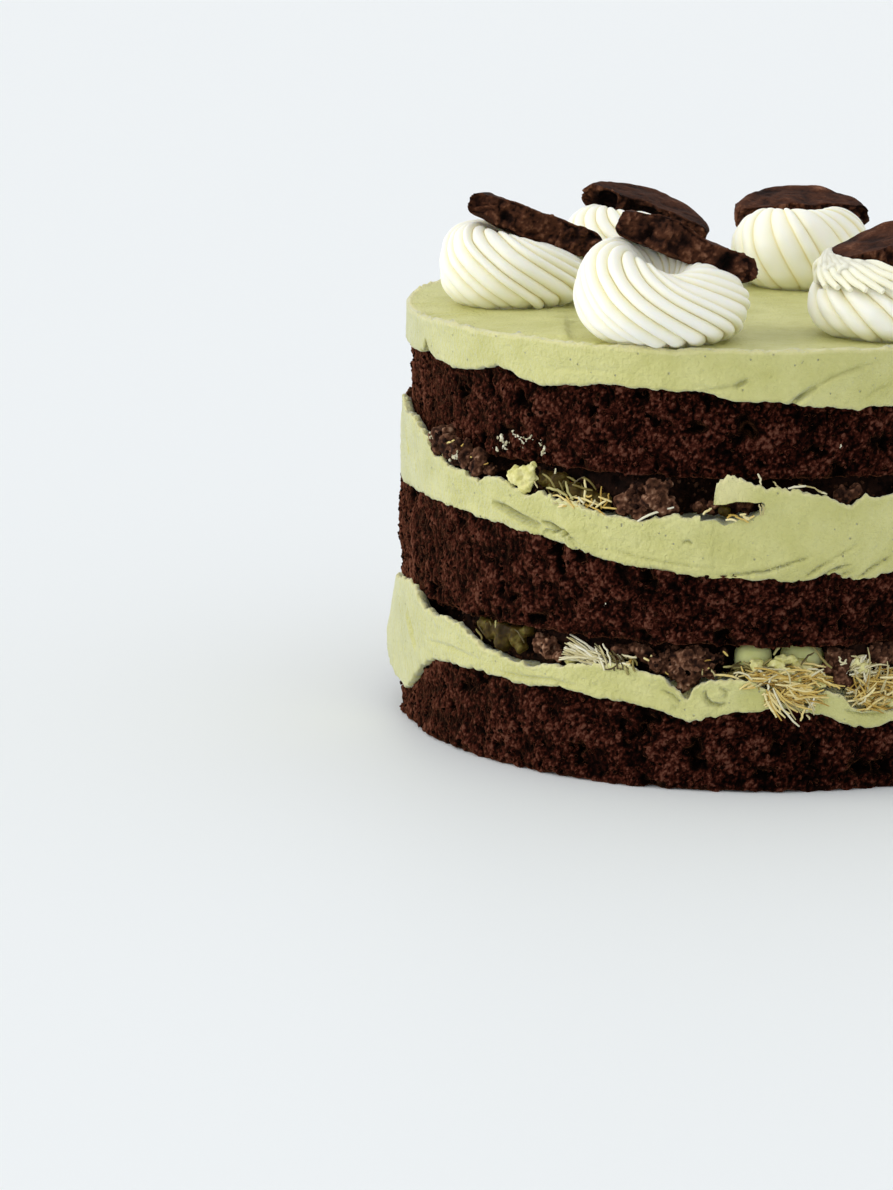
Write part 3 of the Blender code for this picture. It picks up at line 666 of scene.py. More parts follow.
# ---- Crumble lumps ------------------------------------------------------------------------------
# Loose lumps of the crumble lie on the cream's rim in front of the heap. Each is many grains baked
# together, so it is made of overlapping balls that are joined into one skin and then roughened.
# Each lump is (angle, distance out, height, width, height of the lump).
LUMP_SKIN = 0.44
LUMPS = [
    # lower filling, seen side
    (-38.6, 73.6, 27.6, 4.4, 4.8), (-36.2, 74.2, 26.9, 4.2, 5.6), (-34.5, 74.4, 25.5, 2.6, 2.6),
    (-23.8, 74.0, 27.8, 4.0, 4.2), (-21.8, 73.4, 29.0, 3.0, 3.2),
    (-19.6, 74.0, 28.2, 3.8, 4.2), (-17.4, 74.4, 26.4, 4.0, 4.2), (-16.0, 73.8, 29.0, 3.6, 3.4),
    (-14.6, 74.2, 25.0, 3.8, 4.6), (-13.2, 74.2, 22.2, 2.6, 3.6), (-12.6, 74.0, 28.2, 4.6, 5.4),
    (-10.4, 74.6, 27.8, 5.0, 6.0), (-11.6, 74.0, 24.0, 3.6, 3.6), (-8.2, 73.6, 27.4, 3.6, 4.4),
    (-6.6, 73.2, 29.2, 2.8, 3.0), (-9.2, 74.2, 24.8, 2.6, 2.4),
    (10.8, 73.6, 28.6, 3.6, 4.0), (12.4, 74.4, 26.6, 4.0, 4.6), (11.4, 74.8, 24.2, 3.6, 3.6),
    (9.6, 74.2, 26.2, 2.8, 3.0), (13.2, 75.0, 22.6, 2.6, 3.4),
    (13.6, 73.6, 29.0, 3.2, 3.2), (18.4, 73.8, 28.0, 4.6, 5.0), (20.6, 73.6, 28.6, 4.4, 4.6),
    # upper filling, seen side: some sit on the rim outside the foot of the top sponge
    (-66.4, 74.4, 66.8, 3.0, 3.4), (-64.8, 74.4, 67.4, 3.6, 3.8), (-64.6, 74.6, 64.8, 3.6, 3.2),
    (-61.6, 74.4, 65.6, 4.4, 4.6), (-58.4, 74.6, 65.8, 3.6, 4.0), (-58.6, 74.6, 63.4, 3.6, 3.0),
    (-55.6, 74.2, 64.0, 4.4, 4.4), (-52.6, 74.4, 62.6, 3.8, 3.6), (-50.2, 73.6, 62.4, 2.8, 2.8),
    (-52.2, 74.2, 65.4, 3.2, 3.0), (-62.4, 73.8, 68.6, 2.6, 2.4), (-56.2, 74.0, 67.0, 2.4, 2.2),
    (-23.6, 73.6, 59.2, 4.4, 5.0), (-20.6, 74.0, 58.6, 4.6, 4.6), (-21.6, 73.4, 62.4, 4.0, 4.2),
    (-18.4, 74.4, 61.6, 5.6, 6.4), (-16.2, 74.2, 59.2, 4.2, 4.8), (-17.0, 73.8, 63.8, 3.4, 3.2),
    (-11.6, 71.8, 59.6, 3.4, 3.0), (-9.0, 71.4, 59.2, 3.6, 3.0), (-3.4, 71.4, 59.6, 3.4, 3.4),
    (-6.0, 70.6, 59.2, 3.0, 3.0), (11.6, 73.2, 61.8, 4.4, 3.6), (13.8, 73.2, 62.6, 3.6, 2.8),
]
LUMPS_ELSEWHERE = 26          # how many more lie in each filling, round the side that is unseen


def ball(level):
    """Corners and faces of a round ball of small triangles, one millimetre from its middle."""
    work = bpy.data.meshes.new("ball")
    shape = bmesh.new()
    bmesh.ops.create_icosphere(shape, subdivisions=level, radius=1.0)
    shape.to_mesh(work)
    shape.free()
    corners = np.array([v.co for v in work.vertices])
    faces = np.array([list(p.vertices) for p in work.polygons])
    bpy.data.meshes.remove(work)
    return corners, faces


def many(shape, places, sizes):
    """One mesh of many copies of a small shape, each at its place and of its own size."""
    corners, faces = shape
    points = [corners * size + place for place, size in zip(places, sizes)]
    skins = [faces + number * len(corners) for number in range(len(points))]
    return np.concatenate(points), np.concatenate(skins).tolist()


def joined_skin(thing, size):
    """Joins everything in a piece into one even skin of small faces."""
    remesh = thing.modifiers.new("skin", "REMESH")
    remesh.mode, remesh.voxel_size = "VOXEL", size * MM
    settle(thing)


def corner_values(thing):
    """The corners of a piece in millimetres, and the way that its skin faces at each."""
    count = len(thing.data.vertices)
    points, normals = np.empty(count * 3), np.empty(count * 3)
    thing.data.vertices.foreach_get("co", points)
    thing.data.vertex_normals.foreach_get("vector", normals)
    return points.reshape(-1, 3) / MM, normals.reshape(-1, 3)


def move_corners(thing, points):
    """Puts the corners of a piece at new places, given in millimetres."""
    thing.data.vertices.foreach_set("co", (points * MM).ravel())
    thing.data.update()


def more_lumps(count, chance):
    """Lumps along the rims of both fillings, round the side that is unseen."""
    lumps = []
    for heights, edge in (((25.5, 28.5), around(LOWER_CREAM_EDGE)),
                          ((60, 63.5), around(UPPER_CREAM_EDGE))):
        for angle in np.linspace(24, 268, count):
            angle += chance.uniform(-3, 3)
            width = chance.uniform(3.0, 5.4)
            height = max(chance.uniform(*heights), float(edge(angle)) + 1.2)
            lumps.append((angle, 73.8, height, width, width * chance.uniform(0.8, 1.1)))
    return lumps


def lump_balls(lumps, spread_of, smallest, chance):
    """The balls that make up every lump, as places and sizes."""
    places, sizes = [], []
    for angle, out, height, width, tall in lumps:
        middle = on_circle(out, angle, height)
        half = np.array([width, width * 0.8, tall]) / 2
        for _ in range(int(8 + width * 4)):
            spot = chance.normal(size=3)
            spot *= spread_of / np.linalg.norm(spot)
            places.append(middle + spot * half)
            sizes.append(chance.uniform(smallest, 0.46) * width / 2)
    return np.array(places), np.array(sizes)


def lump_piece(name, lumps, spread_of, smallest, relief_share, material, seed):
    """One piece of lumps, joined, roughened and ready for its material."""
    places, sizes = lump_balls(lumps, spread_of, smallest, np.random.default_rng(seed))
    thing = mesh_piece(name, *many(ball(2), places, sizes[:, None]), material)
    joined_skin(thing, LUMP_SKIN)
    points, normals = corner_values(thing)
    relief, light = crumb(points, seed)
    move_corners(thing, points + normals * (relief_share * relief)[:, None])
    # Painted light and shade: the stored crumb value is lighter on grain tips and darker in hollows.
    keep_values(thing, "crumb", light)
    thing.data.shade_smooth()
    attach(thing, "root")
    return thing


lumps = lump_piece("crumble_lumps", LUMPS + more_lumps(LUMPS_ELSEWHERE, np.random.default_rng(7)),
                   0.74, 0.26, 0.7, CRUMBLE, 600)

# ---- Soaked clumps ------------------------------------------------------------------------------
# Pastry that has soaked up pistachio cream sticks together in smooth, dark olive clumps that let a
# little light through.
SOAKED_LUMPS = [
    (-52.0, 73.2, 28.8, 4.0, 4.0), (-49.6, 73.6, 28.2, 5.0, 5.0), (-46.6, 73.6, 28.6, 5.4, 5.6),
    (-43.8, 73.8, 28.2, 5.0, 5.4), (-46.8, 74.0, 26.0, 4.6, 3.6), (-42.6, 74.2, 26.0, 3.6, 3.4),
    (-41.4, 73.6, 29.6, 3.4, 3.2),
    (-38.4, 73.0, 62.6, 4.0, 4.6), (-35.6, 73.0, 62.4, 5.0, 5.2), (-32.6, 73.0, 60.8, 4.6, 4.6),
    (-29.8, 72.8, 60.0, 4.2, 4.4), (-27.2, 72.8, 59.4, 3.8, 4.0), (-7.4, 71.9, 58.6, 3.2, 2.6),
    (66, 73.2, 26.6, 5.0, 4.4), (69.5, 73.4, 26.2, 4.4, 4.4), (98, 73.0, 62.8, 5.0, 4.2),
    (102, 73.0, 63.2, 4.2, 3.6), (-112, 73.2, 29.8, 4.6, 3.2), (-108, 73.2, 30.2, 4.2, 3.0),
    (160, 73.0, 61.4, 4.8, 4.0), (142, 73.2, 29.0, 4.4, 4.0),
]


def soaked_pastry():
    """Pastry wet with cream: satin, dark olive, painted browner in its hollows as shade and paler on its
    humps as light.
    """
    material, tree, shader, place = new_material(
        "soaked pastry", roughness=0.5, specular_ior_level=0.12, subsurface_weight=0.15,
        subsurface_scale=1.0 * MM)
    level = sum_of(tree, stored(tree, "crumb"), 0.35, noise(tree, place, 3.0, 3.0))
    colour = colour_steps(tree, level, [
        (0.3, "#1D1304"), (0.55, "#35270A"), (0.75, "#4F4015"), (0.95, "#71662F")])
    tree.links.new(colour, shader.inputs["Base Color"])
    fine_relief(tree, shader, 0.5, 0.3, noise(tree, place, 0.8, 2.0))
    return material


lump_piece("soaked_clumps", SOAKED_LUMPS, 0.6, 0.34, 0.22, soaked_pastry(), 650)

# ---- Pastry shreds ------------------------------------------------------------------------------
# Toasted threads of pastry, baked from batter drizzled on a hot plate: 0.3 to 0.65 mm thick, gently
# bent and snapped at both ends. Golden ones spill over the cream, pale ones are less toasted, and
# olive ones are wet with pistachio cream.
# A strand is (angle, height, distance out) at each end, and how far it bows to its left in mm.
SHRED_POINTS = 7
GOLD_STRANDS = [
    (0.9, 22.8, 77.2, 6.7, 18.2, 78.4, -1.1), (-0.2, 22.5, 76.8, 2.2, 15.8, 78.2, -0.4),
    (0.2, 22.2, 77.0, 2.7, 16.5, 78.0, -0.8), (-0.6, 21.6, 76.9, 1.4, 16.6, 77.9, -0.3),
    (0.1, 21.9, 77.3, 3.3, 17.3, 78.3, -0.6), (0.6, 21.5, 77.0, 1.9, 17.6, 77.8, 0.2),
    (1.2, 22.0, 77.4, 4.6, 17.6, 78.0, -0.5), (1.8, 22.6, 76.6, 5.6, 19.4, 77.8, -0.8),
    (-8.1, 25.2, 76.5, -4.5, 24.5, 76.4, 0.3), (-4.6, 25.0, 76.2, 2.8, 26.6, 74.8, -0.3),
    (4.1, 26.8, 74.8, 7.9, 22.9, 76.9, 0.3), (3.3, 22.9, 77.0, 6.9, 22.6, 77.0, 0.2),
    (1.9, 23.8, 76.4, 7.4, 26.2, 75.4, 0.3), (5.3, 27.3, 74.4, 9.2, 26.4, 75.2, 0.2),
    (7.8, 24.6, 76.2, 10.0, 23.1, 76.9, 0.0), (3.3, 22.0, 77.0, 5.5, 20.3, 77.3, 0.1),
    (9.4, 23.2, 76.8, 11.1, 22.3, 77.3, 0.2), (5.6, 18.5, 77.9, 5.0, 15.7, 78.2, 0.1),
    (-2.0, 24.2, 76.6, 3.2, 24.9, 76.2, 0.4), (0.6, 25.4, 75.8, 5.2, 23.2, 76.8, -0.4),
    (4.8, 24.8, 76.2, 9.0, 25.4, 75.6, -0.3), (2.4, 21.2, 77.2, 4.6, 22.4, 77.2, 0.2),
    (5.0, 21.6, 77.2, 7.6, 23.8, 76.6, 0.3), (-3.4, 26.0, 75.0, 0.8, 24.0, 76.4, 0.3),
    (18.7, 27.9, 75.2, 16.3, 22.2, 76.8, 0.4), (16.2, 25.0, 75.8, 19.8, 25.3, 75.6, 0.1),
    (14.4, 20.4, 77.2, 18.6, 17.3, 78.0, -0.5), (14.8, 19.9, 77.0, 19.6, 17.5, 77.9, -0.6),
    (14.6, 19.4, 77.1, 18.0, 16.7, 77.8, -0.3), (15.9, 22.2, 76.8, 20.6, 23.6, 76.3, 0.2),
    (15.4, 20.9, 77.0, 20.4, 19.2, 77.6, 0.3), (16.6, 24.0, 76.2, 20.2, 21.0, 77.0, 0.4),
    (-35.6, 60.0, 75.2, -31.4, 57.9, 75.9, 0.6), (-34.8, 60.4, 74.8, -32.4, 59.0, 75.8, 0.7),
    (-33.4, 59.6, 75.0, -30.4, 58.3, 75.8, -0.4), (-29.8, 58.8, 75.0, -26.2, 57.2, 75.8, 0.2),
    (-30.6, 64.0, 73.6, -30.2, 58.6, 75.0, 0.3), (-27.5, 62.4, 73.6, -27.0, 58.2, 75.0, -0.2),
    (-26.2, 61.4, 73.6, -26.8, 58.4, 75.0, 0.2), (-32.0, 60.0, 75.0, -27.6, 59.0, 75.2, 0.3),
    (-10.6, 58.4, 75.4, -9.2, 59.8, 74.8, 0.1), (-5.6, 58.4, 75.2, -3.4, 57.2, 76.0, 0.1),
]
PALE_STRANDS = [
    (0.7, 22.8, 77.6, 4.9, 14.7, 78.7, -0.8), (2.6, 19.8, 78.0, 4.2, 16.1, 78.6, -0.1),
    (0.2, 25.3, 75.9, 0.0, 22.4, 77.4, 0.1), (-5.3, 25.6, 76.2, -2.3, 24.3, 77.0, 0.7),
    (-5.0, 24.6, 76.8, -4.2, 25.8, 76.0, 0.3), (5.9, 17.0, 77.9, 6.4, 16.1, 78.1, 0.1),
    (16.1, 30.3, 75.2, 15.5, 21.3, 77.2, 0.6), (15.1, 28.3, 75.2, 15.8, 21.7, 77.0, -0.4),
    (13.7, 25.6, 75.8, 14.7, 22.3, 76.8, 0.1), (14.6, 22.8, 76.6, 14.0, 18.8, 77.8, -0.9),
    (14.0, 18.9, 77.8, 15.2, 20.2, 77.6, -0.4), (-20.6, 56.6, 76.2, -15.0, 59.7, 75.4, 0.3),
    (-35.9, 65.3, 73.8, -34.3, 60.1, 74.9, -1.0), (-39.7, 62.7, 75.4, -38.3, 61.2, 75.9, 0.1),
    (-2.2, 67.0, 74.6, -1.6, 65.0, 75.4, 0.2), (0.3, 65.5, 75.0, 0.9, 64.6, 75.6, 0.1),
    (2.6, 64.1, 75.4, 5.4, 64.4, 75.0, 0.2), (4.2, 64.7, 74.8, 7.8, 63.3, 75.6, 0.3),
    (7.2, 63.6, 75.2, 8.6, 62.9, 75.6, -0.1), (-1.9, 61.0, 74.6, -1.6, 58.6, 75.2, 0.1),
    (-1.5, 61.1, 74.2, -1.3, 58.9, 75.0, 0.2), (-27.0, 29.4, 75.4, -25.0, 24.8, 76.9, 0.2),
    (-26.6, 29.6, 75.0, -24.6, 25.6, 76.6, 0.4), (-27.6, 28.8, 75.6, -25.6, 24.6, 77.0, 0.1),
    (-10.2, 24.8, 76.0, -9.4, 27.2, 75.8, 0.3), (-8.8, 26.2, 76.2, -8.2, 24.9, 76.6, 0.1),
    (11.2, 28.8, 76.0, 12.4, 27.4, 76.2, -0.7), (12.2, 28.2, 76.2, 11.4, 27.2, 76.3, 0.4),
]
OLIVE_STRANDS = [
    (7.2, 31.4, 73.6, 9.9, 26.4, 76.0, -0.4), (1.5, 30.3, 73.4, 3.4, 30.8, 73.2, 0.2),
    (-2.0, 26.6, 75.0, 0.6, 28.3, 74.4, -0.3), (1.0, 29.0, 73.8, 2.8, 31.2, 73.2, 0.3),
    (5.2, 27.0, 75.2, 7.4, 29.4, 74.2, 0.3), (-43.4, 29.8, 75.2, -41.0, 27.4, 75.6, 0.5),
    (-24.8, 28.6, 75.6, -22.6, 25.2, 76.4, 0.5), (-24.2, 28.2, 75.4, -22.0, 25.6, 76.2, 0.3),
    (-25.4, 28.0, 75.8, -23.4, 25.0, 76.6, 0.6), (-38.0, 64.2, 74.8, -35.4, 61.6, 75.2, 0.4),
    (-33.6, 63.0, 74.6, -32.0, 59.4, 75.2, -0.4), (-37.0, 61.4, 75.2, -33.0, 60.2, 75.4, 0.3),
]
# Each tangle is (angles, heights, distances out, how many, lengths, steepness, spread of steepness).
GOLD_TANGLES = [
    ((-3, 9.0), (22.4, 26.6), (73.0, 76.6), 90, (4, 10), 0, 40),
    ((1.4, 7.0), (18.6, 23.5), (75.0, 77.4), 52, (4, 9), -35, 48),
    ((14.6, 20.8), (17.6, 25.0), (74.2, 77.4), 112, (4, 9), -10, 55),
    ((-33.5, -25), (57.8, 60.6), (72.6, 75.2), 15, (1.5, 4), -10, 40),
    ((-22, -6), (24.0, 30.0), (74.6, 76.2), 13, (0.8, 2.0), 0, 60),
    ((-65, -50), (62.5, 68.0), (74.8, 75.6), 9, (0.8, 1.8), 0, 60),
    ((-10, -1.5), (57.2, 59.4), (73, 75.0), 7, (1.2, 2.6), 0, 40),
    ((26, 60), (22, 28), (73, 76.8), 230, (4, 11), 0, 40),
    ((80, 100), (25, 29), (73, 76.4), 120, (4, 11), 0, 40),
    ((103, 127), (19, 27.5), (73, 77.2), 260, (4, 11), -5, 42),
    ((150, 176), (26, 30), (73, 76.4), 140, (4, 11), 0, 40),
    ((-160, -120), (26, 30), (73, 76.4), 190, (4, 11), 0, 40),
    ((24, 62), (59, 64), (72, 75.4), 190, (4, 9), 0, 40),
    ((68, 84), (60, 64), (72, 75.4), 90, (4, 9), 0, 40),
    ((118, 165), (57.5, 63), (72, 75.4), 230, (4, 9), 0, 40),
    ((-178, -130), (60, 63.5), (72, 75.4), 160, (4, 9), 0, 40),
]
PALE_TANGLES = [
    ((13.2, 16.2), (24.4, 28.4), (74.4, 76.4), 46, (1.5, 4), 60, 40),
    ((-3, 9), (22.2, 26.8), (74, 77.0), 18, (2, 6), 0, 36),
    ((1, 7), (16.5, 22), (76.8, 78.2), 5, (3, 6), -55, 26),
    ((-24.5, -21), (25.6, 28), (74.8, 76.2), 9, (1.5, 3.4), -35, 40),
    ((-35, -28), (58, 60.6), (74.4, 75.6), 8, (1.5, 3), -20, 50),
    ((14, 20.8), (19, 27), (74.4, 77.2), 34, (3, 7), 60, 40),
    ((30, 60), (24, 29), (73, 76.6), 90, (3, 8), 20, 50),
    ((100, 130), (22, 28), (73, 77.2), 110, (3, 8), 20, 50),
    ((-160, -120), (26, 30.5), (73, 76.4), 90, (3, 8), 20, 40),
    ((130, 178), (60, 63.5), (73, 75.4), 90, (3, 8), 20, 40),
]
# Fans of pale shreds that stand out from one root: (root, end of the first, end of the last), each
# an (angle, height), and how many.
PALE_FANS = [
    ((-27.0, 26.6), (-34.2, 25.0), (-32.6, 30.6), 74), ((-25.8, 25.8), (-29.8, 27.6), (-28.2, 29.4), 16),
    ((44, 24.5), (38, 26), (43, 30), 50), ((-140, 27.5), (-146, 28), (-142, 32), 50),
]
OLIVE_TANGLES = [
    ((-52, -42), (25.4, 30.6), (73.4, 74.8), 5, (3, 6), -60, 20),
    ((-24.8, -21), (24.4, 28.4), (74.4, 76.0), 16, (2, 4), -60, 30),
    ((-38, -28), (60, 64), (72.6, 74.8), 14, (2, 5), -60, 30),
    ((-6, 2), (24, 27.5), (72.6, 75.0), 30, (3, 7), 0, 36),
    ((60, 80), (25, 29), (73, 75.6), 80, (3, 8), 0, 40),
    ((-118, -96), (28, 31), (73, 75.6), 60, (3, 8), 0, 30),
    ((86, 116), (61, 64.5), (72, 75.0), 80, (3, 8), 0, 40),
]


def strand(ends, chance):
    """The path of one placed strand: straight between its ends, bowed, and a little unsteady."""
    angle, height, out, last_angle, last_height, last_out, bow = ends
    share = np.linspace(0, 1, SHRED_POINTS)
    across, up = (last_angle - angle) * ARC, last_height - height
    side = bow * np.sin(np.pi * share) / max(math.hypot(across, up), 0.1)
    wobble = chance.normal(0, 0.07, (3, SHRED_POINTS))
    return (angle + (share * across - side * up + wobble[0]) / ARC,
            height + share * up + side * across + wobble[1],
            out + share * (last_out - out) + wobble[2])


def loose_path(angles, heights, distances, lengths, steep, spread_of, chance):
    """The path of one thread in a tangle. It is tried again until it stays within the tangle."""
    for _ in range(60):
        length = chance.uniform(*lengths)
        step = length / (SHRED_POINTS - 1)
        heading = math.radians(chance.normal(steep, spread_of)) + math.pi * (chance.random() < 0.5)
        turns = chance.normal(0, 0.10) + chance.normal(0, 0.08, SHRED_POINTS - 1)
        headings = heading + np.cumsum(turns)
        across = np.append(0, np.cumsum(step * np.cos(headings)))
        up = np.append(0, np.cumsum(step * np.sin(headings)))
        height = chance.uniform(*heights) + up
        if height.min() > heights[0] - 0.3 and height.max() < heights[1] + 0.3:
            break
    angle = chance.uniform(*angles) + (across - across.mean()) / ARC
    place = np.arange(SHRED_POINTS) - SHRED_POINTS // 2
    out = chance.uniform(*distances) + chance.normal(0, 0.12) * place * step
    return angle, height, np.clip(out, distances[0] - 0.5, distances[1] + 0.4)


SHRED_CLEARANCE = 0.36        # kept between the middle line of a thread and the CAD box
CROWDED_FROM, CROWDED_DEPTH = 76.4, 2.4     # threads farther out than the first share the room left
BETWEEN_FILLINGS = 45         # threads below this height belong to the lower filling
LOWER_WALL, UPPER_WALL = 77.0, 76.3     # how far out threads lie on the walls of the two creams


def room(angle):
    """How far out from the axis the CAD box leaves room for a thread, in mm."""
    low, high = np.array(cad_box) / MM
    turn = np.radians(angle)
    across, forward = np.sin(turn), -np.cos(turn)
    sideways = np.where(across > 0, high[0], -low[0]) / np.maximum(np.abs(across), 0.01)
    ahead = np.where(forward > 0, high[1], -low[1]) / np.maximum(np.abs(forward), 0.01)
    return np.minimum(sideways, ahead) - SHRED_CLEARANCE


def lie_on_cream(angle, height, out):
    """A thread that hangs over a rim lies on the wall below it instead of running into the cream."""
    most = room(angle)
    crowded = np.clip((most - CROWDED_FROM) / CROWDED_DEPTH, 0.2, 1)
    out = np.where(out > CROWDED_FROM, CROWDED_FROM + (out - CROWDED_FROM) * crowded, out)
    low_down = height < BETWEEN_FILLINGS
    rim = np.where(low_down, around(LOWER_CREAM_EDGE)(angle), around(UPPER_CREAM_EDGE)(angle))
    wall = np.where(low_down, LOWER_WALL + bulge(angle), UPPER_WALL)
    share = np.clip((rim + 0.5 - height) / 1.5, 0, 1)
    return on_circle(np.minimum(out + share * np.maximum(wall - out, 0), most), angle, height)


def fan_strand(root, first, last, chance):
    """One shred of a fan, in the form of a placed strand."""
    share, reach = chance.random(), chance.uniform(0.55, 1.05)
    root = np.array(root) + chance.normal(0, 0.5, 2)
    end = root + (np.array(first) + share * np.subtract(last, first) - root) * reach
    out = chance.uniform(74.4, 76.6)
    return (*root, out, *end, out - chance.uniform(-0.4, 1.6), chance.normal(0, 0.35))


def shred_paths(strands, fans, tangles, chance):
    """The middle line of every shred: the placed strands, the fans, then the tangles."""
    strands = strands + [fan_strand(*fan, chance) for *fan, count in fans for _ in range(count)]
    paths = [lie_on_cream(*strand(ends, chance)) for ends in strands]
    for angles, heights, distances, count, lengths, steep, spread_of in tangles:
        for _ in range(count):
            paths.append(lie_on_cream(*loose_path(angles, heights, distances, lengths, steep,
                                                  spread_of, chance)))
    return paths


def path_curves(name, paths):
    """Open curves through the middle lines, thinner at their snapped ends."""
    data = bpy.data.curves.new(name, "CURVE")
    data.dimensions = "3D"
    for path in paths:
        spline = data.splines.new("POLY")
        spline.points.add(len(path) - 1)
        spline.points.foreach_set("co", np.column_stack([path * MM, np.ones(len(path))]).ravel())
        ends = 1 - 0.35 * np.abs(np.linspace(-1, 1, len(path))) ** 4
        spline.points.foreach_set("radius", ends)
    return placed_object(name, data)


def tree_inputs(name, sockets):
    """An empty Geometry Nodes tree with named inputs, and its input and output nodes."""
    tree = bpy.data.node_groups.new(name, "GeometryNodeTree")
    tree.interface.new_socket("Geometry", in_out="INPUT", socket_type="NodeSocketGeometry")
    for label, kind in sockets:
        tree.interface.new_socket(label, in_out="INPUT", socket_type="NodeSocket" + kind)
    tree.interface.new_socket("Geometry", in_out="OUTPUT", socket_type="NodeSocketGeometry")
    return tree, add(tree, "NodeGroupInput").outputs, add(tree, "NodeGroupOutput")


def run_tree(thing, tree, **values):
    """Runs a tree on a piece with named input values, and leaves the plain mesh that it makes."""
    modifier = thing.modifiers.new(tree.name, "NODES")
    modifier.node_group = tree
    for item in tree.interface.items_tree:
        key = item.name.lower().replace(" ", "_")
        if key in values:
            modifier[item.identifier] = values[key]
    name = thing.name
    made = placed_object(name + "_made", plain_mesh(thing))
    bpy.data.objects.remove(thing)
    made.name = name
    return made


def shred_tree():
    """Sweeps a small round outline along every path, with a toasting value of its own for each."""
    tree, given, result = tree_inputs("pastry shreds", [
        ("Radius", "Float"), ("Thinnest", "Float"), ("Sides", "Int"), ("Seed", "Int"),
        ("Material", "Material")])
    number = add(tree, "GeometryNodeInputIndex").outputs[0]
    toast = add(tree, "FunctionNodeRandomValue", {"ID": number, "Seed": given["Seed"]})
    thick = add(tree, "FunctionNodeRandomValue", {2: given["Thinnest"], 3: 1.0, "ID": number,
                                                  "Seed": given["Seed"]})
    marked = add(tree, "GeometryNodeStoreNamedAttribute", {
        "Geometry": given["Geometry"], "Name": "toast", "Value": toast.outputs["Value"]},
        domain="CURVE")
    sized = add(tree, "GeometryNodeStoreNamedAttribute", {
        "Geometry": marked.outputs[0], "Name": "size", "Value": thick.outputs["Value"]},
        domain="CURVE")
    outline = add(tree, "GeometryNodeCurvePrimitiveCircle", {"Resolution": given["Sides"],
                                                             "Radius": given["Radius"]})
    size = add(tree, "GeometryNodeInputNamedAttribute", {"Name": "size"}, data_type="FLOAT")
    taper = add(tree, "GeometryNodeInputRadius")
    scale = add(tree, "ShaderNodeMath", {0: size.outputs[0], 1: taper.outputs[0]}, operation="MULTIPLY")
    tubes = add(tree, "GeometryNodeCurveToMesh", {
        "Curve": sized.outputs[0], "Profile Curve": outline.outputs[0], "Scale": scale.outputs[0],
        "Fill Caps": True})
    whole = add(tree, "GeometryNodeRealizeInstances", {"Geometry": tubes.outputs[0]})
    painted = add(tree, "GeometryNodeSetMaterial", {"Geometry": whole.outputs[0],
                                                    "Material": given["Material"]})
    tree.links.new(painted.outputs[0], result.inputs[0])
    return tree


SHREDS = shred_tree()
for name, strands, fans, tangles, radius, steps, roughness, seed in (
    ("golden_shreds", GOLD_STRANDS, [], GOLD_TANGLES, 0.28,
     [(0.0, "#957226"), (0.3, "#C09E46"), (0.6, "#DABF6C"), (1.0, "#F0E3AA")], 0.45, 11),
    ("pale_shreds", PALE_STRANDS, PALE_FANS, PALE_TANGLES, 0.27,
     [(0.0, "#B0A26C"), (0.4, "#CFC596"), (0.8, "#E2DCBC"), (1.0, "#EEEAD4")], 0.5, 12),
    ("olive_shreds", OLIVE_STRANDS, [], OLIVE_TANGLES, 0.32,
     [(0.0, "#43350F"), (0.4, "#6E6028"), (0.75, "#8F8448"), (1.0, "#B9B276")], 0.35, 13),
):
    curves = path_curves(name, shred_paths(strands, fans, tangles, np.random.default_rng(seed)))
    # Toasted pastry: dry and faintly glossy, each thread browned to its own degree.
    pastry = dry_material(name.replace("_", " "), (2.2, 2.0), 0.6, 0.3, steps, (0.5, 2.0, 0.4, 0.15),
                          "toast", roughness=roughness, specular_ior_level=0.4, subsurface_weight=0.1,
                          subsurface_scale=0.6 * MM, subsurface_radius=EVEN)
    shreds = run_tree(curves, SHREDS, radius=radius * MM, thinnest=0.6, sides=5, seed=seed,
                      material=pastry)
    shreds.data.shade_smooth()
    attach(shreds, "root")

# ---- Loose crumbs -------------------------------------------------------------------------------
# Fine crumbs cling to the torn sides of the sponges, and coarser ones to the heaps and their lumps.
# They are rough grains of twenty faces each, scattered over the surface that they lie on.
CRUMB_REACH = 1.1             # how far a crumb can stand out from the face that it lies on


def bed_of(name, things, least_distance):
    """One mesh of the outer faces of some pieces, for crumbs to lie on. Faces closer to the CAD box
    than the reach of a crumb are left out."""
    shape = bmesh.new()
    for thing in things:
        shape.from_mesh(thing.data)
    low, high = np.array(cad_box) + [[CRUMB_REACH * MM], [-CRUMB_REACH * MM]]
    unused = []
    for face in shape.faces:
        centre = np.array(face.calc_center_median())
        too_far_in = math.hypot(*centre[:2]) < least_distance * MM
        if too_far_in or (centre < low).any() or (centre > high).any():
            unused.append(face)
    bmesh.ops.delete(shape, geom=unused, context="FACES")
    mesh = bpy.data.meshes.new(name)
    shape.to_mesh(mesh)
    shape.free()
    return placed_object(name, mesh)


